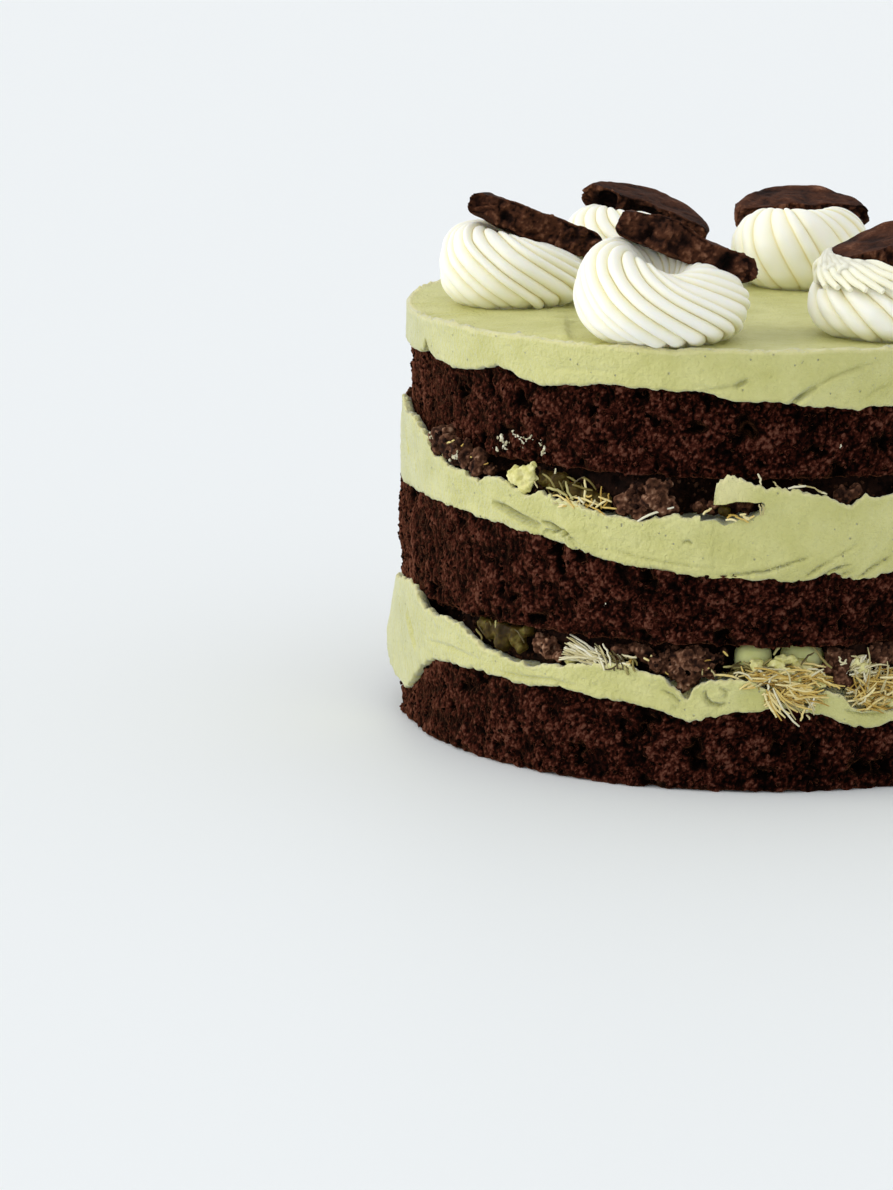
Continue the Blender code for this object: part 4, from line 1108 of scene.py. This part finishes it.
def crumb_tree():
    """Scatters rough grains over a surface and keeps the grains alone."""
    tree, given, result = tree_inputs("loose crumbs", [
        ("Crumbs Per Square Metre", "Float"), ("Grain Radius", "Float"), ("Smallest", "Float"),
        ("Seed", "Int"), ("Material", "Material")])
    spots = add(tree, "GeometryNodeDistributePointsOnFaces", {
        "Mesh": given["Geometry"], "Density": given["Crumbs Per Square Metre"], "Seed": given["Seed"]})
    grain = add(tree, "GeometryNodeMeshIcoSphere", {"Radius": given["Grain Radius"], "Subdivisions": 1})
    size = add(tree, "FunctionNodeRandomValue", {2: given["Smallest"], 3: 1.0, "Seed": given["Seed"]})
    turn = add(tree, "FunctionNodeRandomValue", {0: (0, 0, 0), 1: (6.28, 6.28, 6.28),
                                                 "Seed": given["Seed"]}, data_type="FLOAT_VECTOR")
    placed = add(tree, "GeometryNodeInstanceOnPoints", {
        "Points": spots.outputs["Points"], "Instance": grain.outputs["Mesh"],
        "Rotation": turn.outputs["Value"], "Scale": size.outputs["Value"]})
    whole = add(tree, "GeometryNodeRealizeInstances", {"Geometry": placed.outputs[0]})
    rough = add(tree, "ShaderNodeTexNoise", {"Scale": 1 / (0.8 * MM), "Detail": 1.0})
    centred = add(tree, "ShaderNodeVectorMath", {0: rough.outputs["Color"], 1: (0.5, 0.5, 0.5)},
                  operation="SUBTRACT")
    shift = add(tree, "ShaderNodeVectorMath", {0: centred.outputs[0], 3: 0.9 * MM}, operation="SCALE")
    uneven = add(tree, "GeometryNodeSetPosition", {"Geometry": whole.outputs[0],
                                                   "Offset": shift.outputs[0]})
    island = add(tree, "GeometryNodeInputMeshIsland").outputs["Island Index"]
    tone = add(tree, "FunctionNodeRandomValue", {2: 0.15, 3: 0.75, "ID": island, "Seed": given["Seed"]})
    lit = add(tree, "GeometryNodeStoreNamedAttribute", {"Geometry": uneven.outputs[0],
                                                        "Name": "crumb", "Value": tone.outputs["Value"]})
    painted = add(tree, "GeometryNodeSetMaterial", {"Geometry": lit.outputs[0],
                                                    "Material": given["Material"]})
    tree.links.new(painted.outputs[0], result.inputs[0])
    return tree


CRUMBS = crumb_tree()
for name, under, least_distance, density, radius, smallest, material, slot, seed in (
    ("sponge_crumbs", sponges, 72.0, 200000, 0.55, 0.45, SPONGE, "sponge", 20),
    ("crumble_crumbs", [lower_heap, upper_heap, lumps], 61.0, 260000, 0.62, 0.35, CRUMBLE, "crunch", 21),
):
    loose = run_tree(bed_of(name, under, least_distance), CRUMBS, crumbs_per_square_metre=density,
                     grain_radius=radius * MM, smallest=smallest, seed=seed, material=material)
    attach(loose, "root")

# ---- Dollops ------------------------------------------------------------------------------------
# Smooth lumps of the same pistachio cream, set at the edge of the fillings and pressed a little flat
# by the sponge above. They are painted paler than the spread cream, as painted light against the
# shade of the sponge above.


def patched_cream(name, size, detail, steps, strength, depth, **values):
    """Cream of an uneven colour, with a soft relief that follows its patches."""
    material, tree, shader, place = new_material(name, **values)
    patch = noise(tree, place, size, detail)
    tree.links.new(colour_steps(tree, patch, steps), shader.inputs["Base Color"])
    fine_relief(tree, shader, strength, depth, patch)
    return material


# Cream where no knife has touched it: smooth, and painted paler and a little yellower, as light on
# dollops that sit in the sponge's shade.
SMOOTH_CREAM_PAINTED_LIGHT = patched_cream("smooth pistachio cream", 4, 2.0, [(0.3, "#DCE088"), (0.7, "#F0F2B2")],
                             0.3, 0.2, roughness=0.5, specular_ior_level=0.25, subsurface_weight=0.5,
                             subsurface_scale=4.0 * MM, subsurface_radius=EVEN)
DOLLOP_COUNT = 5
corners, faces = ball(5)
for number in range(1, DOLLOP_COUNT + 1):
    low, high = (np.array(corner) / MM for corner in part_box(f"dollop_{number}"))
    middle, half = (low + high) / 2, (high - low) / 2
    middle = middle + outwards(middle) * 1.2
    shape = np.sign(corners) * np.abs(corners) ** 0.8 * (half * 1.02)
    points = middle + shape
    points += corners * (0.5 * swell(points, 4.0, 700 + number))[:, None]
    cream = mesh_piece(f"dollop_{number}_cream", points, faces.tolist(), SMOOTH_CREAM_PAINTED_LIGHT)
    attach(cream, "root")
    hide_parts(f"dollop_{number}")

# ---- Scraps of cream ----------------------------------------------------------------------------
# Where the cream tore, bits of it stayed behind: a curled flag at the end of the torn rim, flecks on
# the foot of the top sponge, and soft smears between the pastry shreds.
# The flag is an outline of (angle, height). Each other scrap is (angle, distance out, height, width,
# height of the scrap, thickness).
FLAG = [(-44.2, 64.0), (-43.2, 64.9), (-42.2, 64.5), (-41.2, 65.2), (-40.2, 65.4), (-39.2, 66.3),
        (-38.9, 65.4), (-39.4, 64.2), (-38.9, 62.8), (-39.8, 61.6), (-40.6, 60.2), (-41.6, 59.2),
        (-42.4, 60.4), (-43.4, 61.2), (-44.6, 62.4), (-44.9, 63.2)]
FLECKS = [
    (-65.6, 75.8, 67.2, 1.8, 1.6, 1.2), (-57.8, 76.2, 63.9, 1.8, 2.0, 1.3),
    (-57.2, 76.0, 64.8, 1.1, 1.3, 1.0), (-62.8, 75.0, 62.8, 1.0, 0.8, 0.8),
    (-47.6, 73.9, 70.0, 1.2, 1.3, 0.8), (-47.0, 73.9, 69.2, 1.4, 1.8, 1.0),
    (-46.5, 73.9, 68.5, 0.9, 1.1, 0.8), (-48.8, 73.9, 67.6, 1.1, 0.9, 0.8),
    (-43.2, 73.9, 71.0, 1.6, 0.7, 0.7), (-42.2, 73.9, 70.6, 1.7, 0.8, 0.8),
    (-41.3, 73.9, 70.9, 0.9, 0.8, 0.7), (-42.6, 73.9, 69.6, 0.7, 1.3, 0.7),
    (-42.9, 73.9, 68.7, 0.7, 0.7, 0.6), (-38.9, 73.9, 70.2, 0.8, 0.8, 0.7),
    (-38.2, 73.9, 69.2, 0.8, 1.5, 0.8), (-38.6, 73.9, 68.3, 1.0, 1.0, 0.8),
    (-45.0, 73.8, 71.4, 0.7, 0.7, 0.6), (11.0, 73.8, 72.4, 0.6, 0.7, 0.6),
    (-25.6, 76.5, 38.4, 0.7, 0.5, 0.5),
]
SMEARS = [
    (15.6, 74, 22.6, 4.4, 5.4, 2.4), (18.8, 74.2, 21.2, 5.4, 6, 2.4), (5.4, 73.2, 23.6, 6.4, 4, 3),
    (1.4, 73.4, 23.8, 5.4, 3.4, 3), (1.4, 73.9, 26.2, 5, 3, 2.8), (4.6, 74, 25.4, 5.5, 3.2, 2.8),
    (-1.6, 73.6, 26.4, 4.1, 2.4, 2.6), (2.8, 73.6, 28, 4.1, 2.6, 2.6), (3.2, 74.3, 23.6, 5.3, 2.6, 2.6),
    (6.6, 74.3, 22.4, 3.6, 3, 2.6), (7, 74.8, 20.6, 2.6, 2.4, 2.4), (14.8, 75, 26.4, 3.6, 3.4, 2.2),
    (14, 75, 27, 2.4, 2, 2), (17, 75.2, 19.4, 5.5, 2.2, 2.6), (19.4, 75.4, 18.6, 4.8, 2, 2.6),
    (-29.6, 74.6, 25.6, 5.3, 1.6, 2.6), (-32.6, 74.6, 25.2, 4.1, 1.4, 2.2),
]


def scrap_piece(name, scraps, flags, parts, loose, skin, rough, material, seed):
    """Scraps of cream: overlapping flattened balls, joined and torn a little. A scrap of more and
    looser parts is more ragged. A flag is a thin crumpled slab with an outline of its own."""
    chance = np.random.default_rng(seed)
    corners, faces = ball(3)
    points, skins = [], []
    for angle, out, height, width, tall, thick in scraps:
        turn = math.radians(angle)
        level = np.array([math.cos(turn), math.sin(turn), 0])
        away = np.array([math.sin(turn), -math.cos(turn), 0])
        for _ in range(parts):
            sizes = np.array([width, thick, tall]) / 2 * chance.uniform(0.7, 1.0, 3)
            sizes = sizes / (1 + 2.4 * (loose - 0.16) * parts / 3)
            shift = chance.normal(0, loose, 3) * (width, thick, tall)
            local = corners * sizes + shift
            skins.append(faces + len(corners) * len(points))
            points.append(on_circle(out, angle, height) + local[:, :1] * level + local[:, 1:2] * away
                          + local[:, 2:] * (0, 0, 1))
    points, skins = np.concatenate(points), np.concatenate(skins).tolist()
    for line in flags:
        line = np.array(finer(line, 0.4))
        crumple = 0.8 * swell(on_circle(76.0, line[:, 0], line[:, 1]), 2.2, seed + 3)
        rows = [on_circle(75.6 + crumple + depth, line[:, 0], line[:, 1]) for depth in (-0.9, 0.5)]
        skins += [[corner + len(points) for corner in face] for face in ring_faces(2, len(line))]
        points = np.concatenate([points, *rows])
    thing = mesh_piece(name, points, skins, material)
    joined_skin(thing, skin)
    points, normals = corner_values(thing)
    relief = swell(points, 1.1, seed) + 0.7 * swell(points, 0.55, seed + 1)
    move_corners(thing, points + normals * (rough * relief)[:, None])
    thing.data.shade_smooth()
    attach(thing, "root")


# Cream with an open, torn surface: satin, greener in patches, and pale yellow: partly its own colour,
# partly painted light on the flag and smears that lie in shade.
TORN_CREAM_PAINTED_PALER = patched_cream("torn pistachio cream", 1.6, 4.0, [(0.35, "#C8C372"), (0.65, "#E6E0A4")],
                           0.6, 0.3, roughness=0.5, specular_ior_level=0.3, subsurface_weight=0.15,
                           subsurface_scale=1.5 * MM, subsurface_radius=EVEN)
# Flecks of cream that have dried on the sponge: matt and nearly white, yellower in patches.
DRY_CREAM = patched_cream("dry cream", 0.8, 2.0, [(0.35, "#B4AC86"), (0.62, "#E8E4CC")], 0.5, 0.15,
                          roughness=0.7)
scrap_piece("torn_cream_scraps", SMEARS, [FLAG], 3, 0.22, 0.26, 0.5, TORN_CREAM_PAINTED_PALER, 670)
scrap_piece("pale_flecks", FLECKS, [], 8, 0.34, 0.15, 0.12, DRY_CREAM, 680)

# ---- The icing ----------------------------------------------------------------------------------
# A thick disc of the pistachio cream over the top sponge. Its side is struck off with a knife and
# laps over the sponge in places, its top is smoothed with a turn of the palette knife.
ICING_STEPS, ICING_ROWS, ICING_TOP = 1140, 26, 92.1
ICING_MARKS = [
    (((2.6, 81.0), (3.8, 82.2), (5, 83.3), (6.9, 84.9)), 0.6, 1.7, 0.0, 0.9),
    (((6.2, 84.4), (9.1, 86.6), (13, 88.4), (17, 89.6)), 0.4, 0.5, 0.0, 0.6),
    (((-6.0, 84.9), (-5, 85.5), (-3.9, 86.3)), 0.5, 1.3, 0.15, 0.0),
    (((-11.6, 83.8), (-9.4, 84.3), (-7.7, 84.7), (-5.4, 85.2)), 0.3, 0.35, 0.3, 0.0),
    (((-12.4, 84.6), (-10.6, 84.9), (-9.6, 84.4)), 0.3, 0.3, 0.0, 0.1),
    (((14.6, 82), (16.4, 83.8), (19, 85)), 0.35, 0.3, 0.0, 0.3),
    (((-40, 86), (-30, 86.8), (-20, 86.4)), 0.6, 0.2, 0.0, 0.15),
    (((35, 85), (50, 87.5), (66, 88)), 0.5, 0.3, 0.0, 0.25),
    (((85, 84.5), (98, 86.5), (110, 89)), 0.5, 0.35, 0.0, 0.25),
    (((-170, 85), (-155, 87), (-142, 88.5)), 0.5, 0.35, 0.0, 0.25),
    (((-125, 85.5), (-112, 86.5), (-100, 88.5)), 0.5, 0.3, 0.0, 0.2),
]
angle = round_the_cake(ICING_STEPS)
rim_line = on_circle(75.0, angle, 0.0)
low = around(ICING_EDGE)(angle) + torn(rim_line, 0.55, 720)
burr = 0.3 + np.clip(swell(rim_line, 5.0, 724) + 0.4, 0, 1) * (0.5 + swell(rim_line, 1.2, 725))
nicks = np.clip(swell(rim_line, 1.5, 726) - 0.55, 0, 1) + 0.5 * np.exp(-((angle + 28.4) / 0.5) ** 2)
high = ICING_TOP + 0.25 * swell(rim_line, 12.0, 722) + 0.14 * swell(rim_line, 3.0, 723) - 0.9 * nicks
rings = [(66.0, 83.4), (70.0, (low + 83.4) / 2), (72.6, low)]
rings += wall_rings(75.0, low, high, ICING_ROWS, 0.75, 0.4)
burr_row = len(rings)
rings += [(74.3, high + 0.8 * burr), (73.8, high + 0.2 * burr)]
rings += [(radius, high + (ICING_TOP - high) * min(1, (75 - radius) / 14))
          for radius in (*np.linspace(73.3, 54, 26), *np.linspace(50, 14, 8), 8, 2)]
points = ring_points(rings, angle)
distance = np.linalg.norm(points[..., :2], axis=-1)
side = (distance > 73.9) * 1.0
turn = np.broadcast_to(angle, distance.shape)
relief = spread(points, 730) + 1.6 * knife_marks(turn, points[..., 2], ICING_MARKS)
moved = points + outwards(points) * (0.7 * relief * side)[..., None]
on_top = (points[..., 2] > 90.5) * (distance < 74.6) * np.clip((distance - 2.1) / 4, 0, 1)
# The last stroke of the knife left a low step behind it, near the rim.
behind = -40.6 + 0.5 * swell(points, 3.0, 734) - points[..., 0]
step = np.clip(behind / 0.5, 0, 1) * np.exp(-np.clip(behind, 0, None) / 9)
step *= np.clip((72.0 + 0.5 * swell(points, 3.0, 735) - distance) / 0.6, 0, 1)
step *= np.clip((turn + 78) / 20, 0, 1) * np.clip((-30 - turn) / 6, 0, 1)
sweep = np.stack([turn * 0.35, distance * 0.5, 0 * distance], -1)
rise = 0.10 * swell(points, 22.0, 731) + 0.07 * swell(sweep, 2.2, 732) + 0.03 * swell(points, 2.0, 733)
moved[..., 2] += (rise + 0.9 * step) * on_top
icing = mesh_piece("top_icing", moved, ring_faces(len(rings), ICING_STEPS), CREAM)
icing.data.materials.append(pistachio_cream("smoothed pistachio cream", 0.06))
# The top is smoothed from the burr inwards; the side and the underside are left as spread.
index = np.zeros(len(icing.data.polygons), np.int32)
index[burr_row * ICING_STEPS:-2] = 1
index[-1] = 1
icing.data.polygons.foreach_set("material_index", index)
# Painted highlight: a pale band along the top of the rim, stored as "torn".
edge = np.exp(-((distance - 74.3) / 0.8) ** 2) * (points[..., 2] > high - 0.7)
keep_values(icing, "torn", edge * np.clip(0.8 + 0.5 * swell(points, 1.6, 727), 0, 1))
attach(icing, "root")
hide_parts("icing_top")

# ---- The piped swirls ---------------------------------------------------------------------------
# Six mounds of white cream, piped through a fine star nozzle with a turn of the wrist. About twenty
# rounded ridges run out of a dimple on top, over the shoulder, and twist on the way down to a
# narrower foot. Each biscuit is pressed into its mound.
# Each swirl is (x, y, width, height, (angle where it is higher, by how much), (angle where its rim
# dips, how deep, how wide), turn, how its ridges twist).
SWIRLS = [
    (-50.7, -5.0, 34.0, 16.4, (-90, 3.0), (30, 1.0, 45), 10.0, "turned"),
    (-21.8, -58.0, 36.3, 18.2, (-128, 4.6), (16, 2.0, 42), 0.0, "turned"),
    (-22.8, 30.0, 33.0, 17.2, (-90, 1.2), (60, 1.0, 45), 25.0, "turned"),
    (14.8, 25.0, 31.5, 17.8, (0, 0.8), (150, 1.0, 45), 40.0, "upright"),
    (27.0, -51.0, 36.5, 15.8, (120, 1.8), (60, 0.6, 40), 55.0, "folded"),
    (44.5, -4.0, 34.5, 17.0, (60, 1.5), (-120, 1.0, 45), 70.0, "turned"),
]
SWIRL_RIDGES, RIDGE_STEPS, SWIRL_ROWS = 19, 14, 80
RIDGE_DEPTH = 0.082           # depth of a groove, as a share of the distance from the middle
# Outline as (share of the half width, share of the height), foot to dimple, and the turn of the
# ridges at each of its points in degrees.
SWIRL_OUTLINE = [(0.66, 0.0), (0.80, 0.06), (0.94, 0.2), (1.0, 0.42), (0.97, 0.64), (0.85, 0.84),
                 (0.66, 0.97), (0.47, 1.0), (0.31, 0.90), (0.17, 0.72), (0.03, 0.62)]
RIDGE_TURNS = {
    "turned": (80, 75, 64, 46, 27, 7, -10, -26, -42, -58, -70),
    "upright": (30, 28, 23, 15, 7, -2, -12, -24, -36, -48, -58),
    "folded": (24, 22, 18, 10, 0, -16, -40, -56, -68, -78, -86),
}
# The biscuits: middle of the broken edge from the swirl's middle (x, y), height above the icing, and
# turn about X, Y and Z in degrees.
BISCUITS = [
    ((4.1, -5.0), 17.7, (-5.0, 20.4, 0.0)),
    ((5.0, 1.0), 18.6, (-3.0, 22.4, 0.0)),
    ((2.2, 1.0), 14.8, (5.0, 18.5, -14.0)),
    ((0.9, 6.5), 14.6, (12.0, 0.0, 6.0)),
    ((-0.8, -3.0), 16.0, (11.0, -17.0, 0.0)),
    ((-1.5, 0.0), 16.0, (4.0, 17.0, -72.0)),
]
BISCUIT_RADIUS, BISCUIT_THICKNESS = 15.3, 6.2


def eased(table, rows):
    """Smooth steps along a table of corners, by Catmull-Rom curves between them."""
    table = np.array(table, float)
    ends = np.vstack([2 * table[0] - table[1], table, 2 * table[-1] - table[-2]])
    place = np.linspace(0, len(table) - 1 - 1e-9, rows)
    whole = place.astype(int)
    part = (place - whole)[:, None]
    p0, p1, p2, p3 = (ends[whole + k] for k in range(4))
    return 0.5 * (2 * p1 + (p2 - p0) * part + (2 * p0 - 5 * p1 + 4 * p2 - p3) * part ** 2
                  + (3 * p1 - p0 - 3 * p2 + p3) * part ** 3)


def biscuit_pose(number):
    """Where a half biscuit lies: its turn as a matrix, and the middle of its broken edge."""
    x, y = SWIRLS[number][:2]
    (off_x, off_y), height, turns = BISCUITS[number]
    turn = np.array(Euler([math.radians(t) for t in turns]).to_matrix())
    return turn, np.array([x + off_x, y + off_y, ICING_TOP + height])


def press(points, plain, number):
    """Pushes cream down under and beside a biscuit. How far is worked out on the plain mound, so that
    the ridges run on across the bed that the biscuit lies in."""
    turn, middle = biscuit_pose(number)
    across, back, up = np.moveaxis((plain - middle) @ turn, -1, 0)
    behind = np.clip(np.hypot(across, back) - BISCUIT_RADIUS - 0.2, 0, None)
    before = np.hypot(np.clip(np.abs(across) - BISCUIT_RADIUS, 0, None), back + 0.3)
    outside = np.where(back > -0.3, behind, before)
    excess = up - (0.8 - BISCUIT_THICKNESS / 2) - 1.25 * outside
    local = (points - middle) @ turn
    local[..., 2] -= 0.5 * (excess + np.sqrt(excess ** 2 + 0.5))
    return local @ turn.T + middle


def piped_cream():
    """White whipped cream: soft satin, ivory where the light goes through it, painted darker and warmer in
    the grooves as shade.
    """
    material, tree, shader, place = new_material("piped cream", roughness=0.48,
                                                 specular_ior_level=0.4, subsurface_weight=0.4,
                                                 subsurface_scale=3.0 * MM, subsurface_radius=EVEN)
    # The ridge value paints shade in the grooves and light on the ridge tops.
    colour = colour_steps(tree, stored(tree, "ridge"),
                          [(0.0, "#F0E5B2"), (0.35, "#F9F4D6"), (1.0, "#FEFCEE")])
    tree.links.new(colour, shader.inputs["Base Color"])
    fine_relief(tree, shader, 0.25, 0.15, noise(tree, place, 1.2, 3.0))
    return material


PIPED = piped_cream()


def swirl(number):
    """One mound. The skin runs from its foot over the top into the dimple."""
    x, y, width, height, (high_side, extra), (dip_side, dip, dip_width), turn, kind = SWIRLS[number]
    seed = 800 + 10 * number
    outline = eased(np.column_stack([SWIRL_OUTLINE, RIDGE_TURNS[kind]]), SWIRL_ROWS)
    share, rise, twist = (outline[:, k:k + 1] for k in range(3))
    steps = SWIRL_RIDGES * RIDGE_STEPS
    which = np.arange(steps)[None] / RIDGE_STEPS
    ridge = np.floor(which).astype(int)
    uneven = scatter(np.stack([ridge, 0 * ridge, 0 * ridge], -1), seed)
    borders = np.arange(SWIRL_RIDGES + 1) + 0.24 * scatter(
        np.stack([np.arange(SWIRL_RIDGES + 1) % SWIRL_RIDGES] * 3, -1), seed + 5)
    placed_at = np.interp(which, np.arange(SWIRL_RIDGES + 1), borders)
    lobe = np.abs(np.sin(np.pi * (which - ridge) ** 0.85)) ** 0.55
    angle = turn + placed_at * 360 / SWIRL_RIDGES + twist
    towards = (angle - dip_side + 180) % 360 - 180
    high = height + extra * share * np.cos(np.radians(angle - high_side))
    low = dip * np.exp(-(towards / dip_width) ** 2) * rise ** 4 * np.clip(share / 0.3, 0, 1)
    slope = np.gradient(outline[:, 0] * width / 2), np.gradient(outline[:, 1] * height)
    length = np.maximum(np.hypot(*slope), 1e-6)
    out_part, up_part = (slope[1] / length)[:, None], (-slope[0] / length)[:, None]
    depth = (RIDGE_DEPTH * (1 + 0.3 * uneven) * share + 0.010) * width / 2 * (1 - lobe)
    depth = depth * (0.55 if kind == "upright" else 0.9)
    push = (0.03 * uneven * share) * width / 2 - depth

    def skin(move):
        points = on_circle(np.maximum(share * width / 2 + move * out_part, 0.05), angle,
                           rise * high - low + move * up_part)
        soft = 0.5 * swell(points, 9.0, seed + 1) + 0.14 * swell(points, 2.5, seed + 2)
        points = points + outwards(points) * (soft * np.clip(share * 2, 0, 1))[..., None]
        points[0, :, 2] = -0.1
        return points + (x, y, ICING_TOP)

    placed = press(skin(push), skin(0 * push), number)
    placed[..., 2] = np.maximum(placed[..., 2], ICING_TOP - 0.1)
    thing = mesh_piece(f"swirl_{number + 1}_piped", placed, ring_faces(SWIRL_ROWS, steps), PIPED)
    # Stored for painted shade in the grooves and painted light on the ridges.
    keep_values(thing, "ridge", np.broadcast_to(lobe, placed.shape[:2]))
    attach(thing, "root")
    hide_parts(f"swirl_{number + 1}")


for number in range(len(SWIRLS)):
    swirl(number)

# The fifth swirl was begun twice: at its upper left the ridges of the second turn start as loose,
# rounded ribbon ends, run over the edge of the top and down into the mound.
# The path of one ribbon from its loose end, as (angle, share of the half width, share of the height).
RIBBON = [(-7, 0.90, 0.70), (-6, 0.88, 0.84), (2, 0.80, 0.98), (15, 0.76, 1.04), (32, 0.81, 0.99),
          (50, 0.92, 0.87), (66, 1.0, 0.72)]
RIBBON_STARTS = [(-124, -0.08), (-113, 0.03), (-102, -0.05), (-91, 0.05), (-80, -0.02), (-69, 0.07),
                 (-57, 0.10), (-44, 0.13)]
RIBBON_RADIUS = 0.95
x, y, width, height = SWIRLS[4][:4]
paths = []
for start, shorter in RIBBON_STARTS:
    line = [on_circle(share * width / 2, start + angle, (rise + shorter * (angle < 0)) * height)
            for angle, share, rise in RIBBON]
    path = eased(line, 26)
    path += 0.35 * np.stack([swell(path, 3.6, 860 + k) for k in range(3)], -1)
    paths.append(path + (x, y, ICING_TOP))
ribbons = run_tree(path_curves("swirl_5_ribbons", paths), SHREDS, radius=RIBBON_RADIUS * MM,
                   thinnest=0.8, sides=14, seed=14, material=PIPED)
ribbons.data.shade_smooth()
keep_values(ribbons, "ridge", np.full(len(ribbons.data.vertices), 0.45))
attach(ribbons, "root")

# ---- The half biscuits --------------------------------------------------------------------------
# Round chocolate biscuits, snapped in two. The baked faces are dry, fine and nearly flat with a worn
# edge; the broken face is coarse and full of small holes.
# Baked cocoa dough: matt and dusty on its faces, coarser where it is broken, and darker there: its own
# colour, and painted shade in its holes.
BISCUIT = dry_material(
    "chocolate biscuit", (0.8, 4.0, 0.6), 0.5, 0.25,
    [(0.0, "#050100"), (0.3, "#1F0D07"), (0.6, "#4D2C1C"), (0.85, "#7E553F"), (1.0, "#A87F66")],
    (0.4, 3.0, 0.5, 0.2), roughness=0.85, specular_ior_level=0.12)
# Chips and bumps of the broken edge: (which biscuit, across and up from the middle of the break, size,
# how far up it is moved, or how deep it is if that is below nothing).
CHIPS = [(1, -6.0, 3.0, 5.5, 1.5), (0, -11.5, -2.4, 2.6, 1.5), (0, -7.0, -0.4, 1.0, -0.9),
         (1, -1.0, 1.2, 1.3, -0.9), (1, 8.6, 0.2, 1.5, -1.0), (1, 13.5, -2.4, 2.0, 0.9),
         (4, 4.0, -1.6, 1.6, 0.8)]


def half_biscuit(number):
    """One half: an outline of an arc and a wandering break, thickened, rounded and roughened."""
    turn, middle = biscuit_pose(number)
    seed = 900 + 20 * number
    across = np.linspace(-BISCUIT_RADIUS + 0.8, BISCUIT_RADIUS - 0.8, 40)
    line = np.stack([across, 0 * across, 0 * across], -1)
    broken = 0.9 * swell(line, 6.0, seed) + 0.7 * swell(line, 2.4, seed + 1)
    arc = np.radians(np.linspace(0, 180, 60))
    walk = np.stack([arc * 14, 0 * arc, 0 * arc], -1)
    uneven = BISCUIT_RADIUS + 0.5 * swell(walk, 9.0, seed + 2) + 0.3 * swell(walk, 3.0, seed + 6)
    flat = np.vstack([np.stack([uneven * np.cos(arc), uneven * np.sin(arc)], -1),
                      np.stack([across, broken], -1)])
    half = BISCUIT_THICKNESS / 2
    rows = [np.column_stack([flat, np.full(len(flat), level)]) for level in (-half, half)]
    thing = mesh_piece(f"biscuit_{number + 1}_baked", np.array(rows), ring_faces(2, len(flat)), BISCUIT)
    joined_skin(thing, 0.38)
    local, normals = corner_values(thing)
    own = local + 40 * number
    from_rim = np.clip(BISCUIT_RADIUS - np.hypot(local[:, 0], local[:, 1]), 0, 2.2) / 2.2
    local[:, 2] *= np.sqrt(1 - 0.8 * (1 - from_rim) ** 2.4)
    local[:, 2] *= 1 - 0.12 * (local[:, 0] / BISCUIT_RADIUS) ** 2 + 0.08 * swell(own, 6.0, seed + 7)
    face = np.clip(-normals[:, 1] * 1.6 - 0.3, 0, 1) * np.clip(1 - (local[:, 1] - 1.6) / 1.5, 0, 1)
    relief, light = crumb(own, seed + 3)
    coarse, shade = crumb(own * 0.6, seed + 8)
    relief, light = 0.8 * relief + 1.2 * coarse, 0.4 * light + 0.6 * shade
    baked = 0.32 * swell(own, 4.5, seed + 4) + 0.16 * swell(own, 1.4, seed + 5)
    worn = np.clip(1 - np.abs(local[:, 1]) / 1.5, 0, 1) * 0.35 * coarse
    local[:, 2] += 0.45 * swell(own * (1, 1, 0), 6.5, seed + 9)
    local = local + normals * (1.2 * face * relief + (1 - face) * (baked + worn))[:, None]
    for which, chip_across, chip_up, size, depth in CHIPS:
        if which == number:
            near = np.exp(-((local[:, 0] - chip_across) ** 2 + (local[:, 2] - chip_up) ** 2) / size ** 2)
            near *= np.clip(1 - local[:, 1] / 4, 0, 1)
            local[:, 2 if depth > 0 else 1] += abs(depth) * near * (1.2 if depth > 0 else 1.6)
            # Dents are painted darker as shade.
            light = light - 0.6 * near * (depth < 0)
    move_corners(thing, local @ turn.T + middle)
    # Painted light and shade: on the broken face the crumb value is darker in holes and dents and lighter
    # on tips; on the baked faces it is lighter on bumps and darker in dips.
    keep_values(thing, "crumb", np.where(face > 0.3, np.clip(light, 0, 1) * 0.9, 0.5 + 0.8 * baked))
    thing.data.shade_smooth()
    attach(thing, "root")
    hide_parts(f"biscuit_{number + 1}")


for number in range(len(BISCUITS)):
    half_biscuit(number)

# ---- Floor, light and camera --------------------------------------------------------------------
# A plain pale floor, an even pale sky and soft daylight that comes in low from the left.
FLOOR_REACH = 14.0            # metres from the cake to each side of the floor


def plain_floor():
    """A matt, even, pale surface."""
    return new_material("pale floor", roughness=0.6, base_color=linear("#EEF1F3"))[0]


corners = np.array([(-1, -1, 0), (1, -1, 0), (1, 1, 0), (-1, 1, 0)]) * FLOOR_REACH / MM
floor = mesh_piece("floor", corners, [(0, 1, 2, 3)], plain_floor())

world = bpy.data.worlds.new("pale sky")
world.use_nodes = True
sky = world.node_tree.nodes["Background"].inputs
sky["Color"].default_value = linear("#F7F9FB")
sky["Strength"].default_value = 0.90
bpy.context.scene.world = world


def window(name, azimuth, elevation, softness, strength, colour):
    """Broad daylight from one side, as through a wide window: the same strength everywhere."""
    data = bpy.data.lights.new(name, "SUN")
    data.angle, data.energy, data.color = math.radians(softness), strength, linear(colour)[:3]
    level = math.radians(elevation)
    towards = on_circle(math.cos(level), azimuth, math.sin(level))
    placed_object(name, data).rotation_euler = Vector(towards).to_track_quat("Z", "Y").to_euler()


window("soft window", -88, 24, 38, 1.35, "#FFFDF6")

view = bpy.data.cameras.new("view")
view.lens, view.sensor_width = 108.9, 36.0
view.clip_start = 0.01
camera = placed_object("view", view)
camera.location = (-0.0660, -0.7934, 0.2038)
camera.rotation_euler = (math.radians(90 - 12.704), 0, 0)
bpy.context.scene.camera = camera
bpy.context.scene.view_settings.view_transform = "Standard"
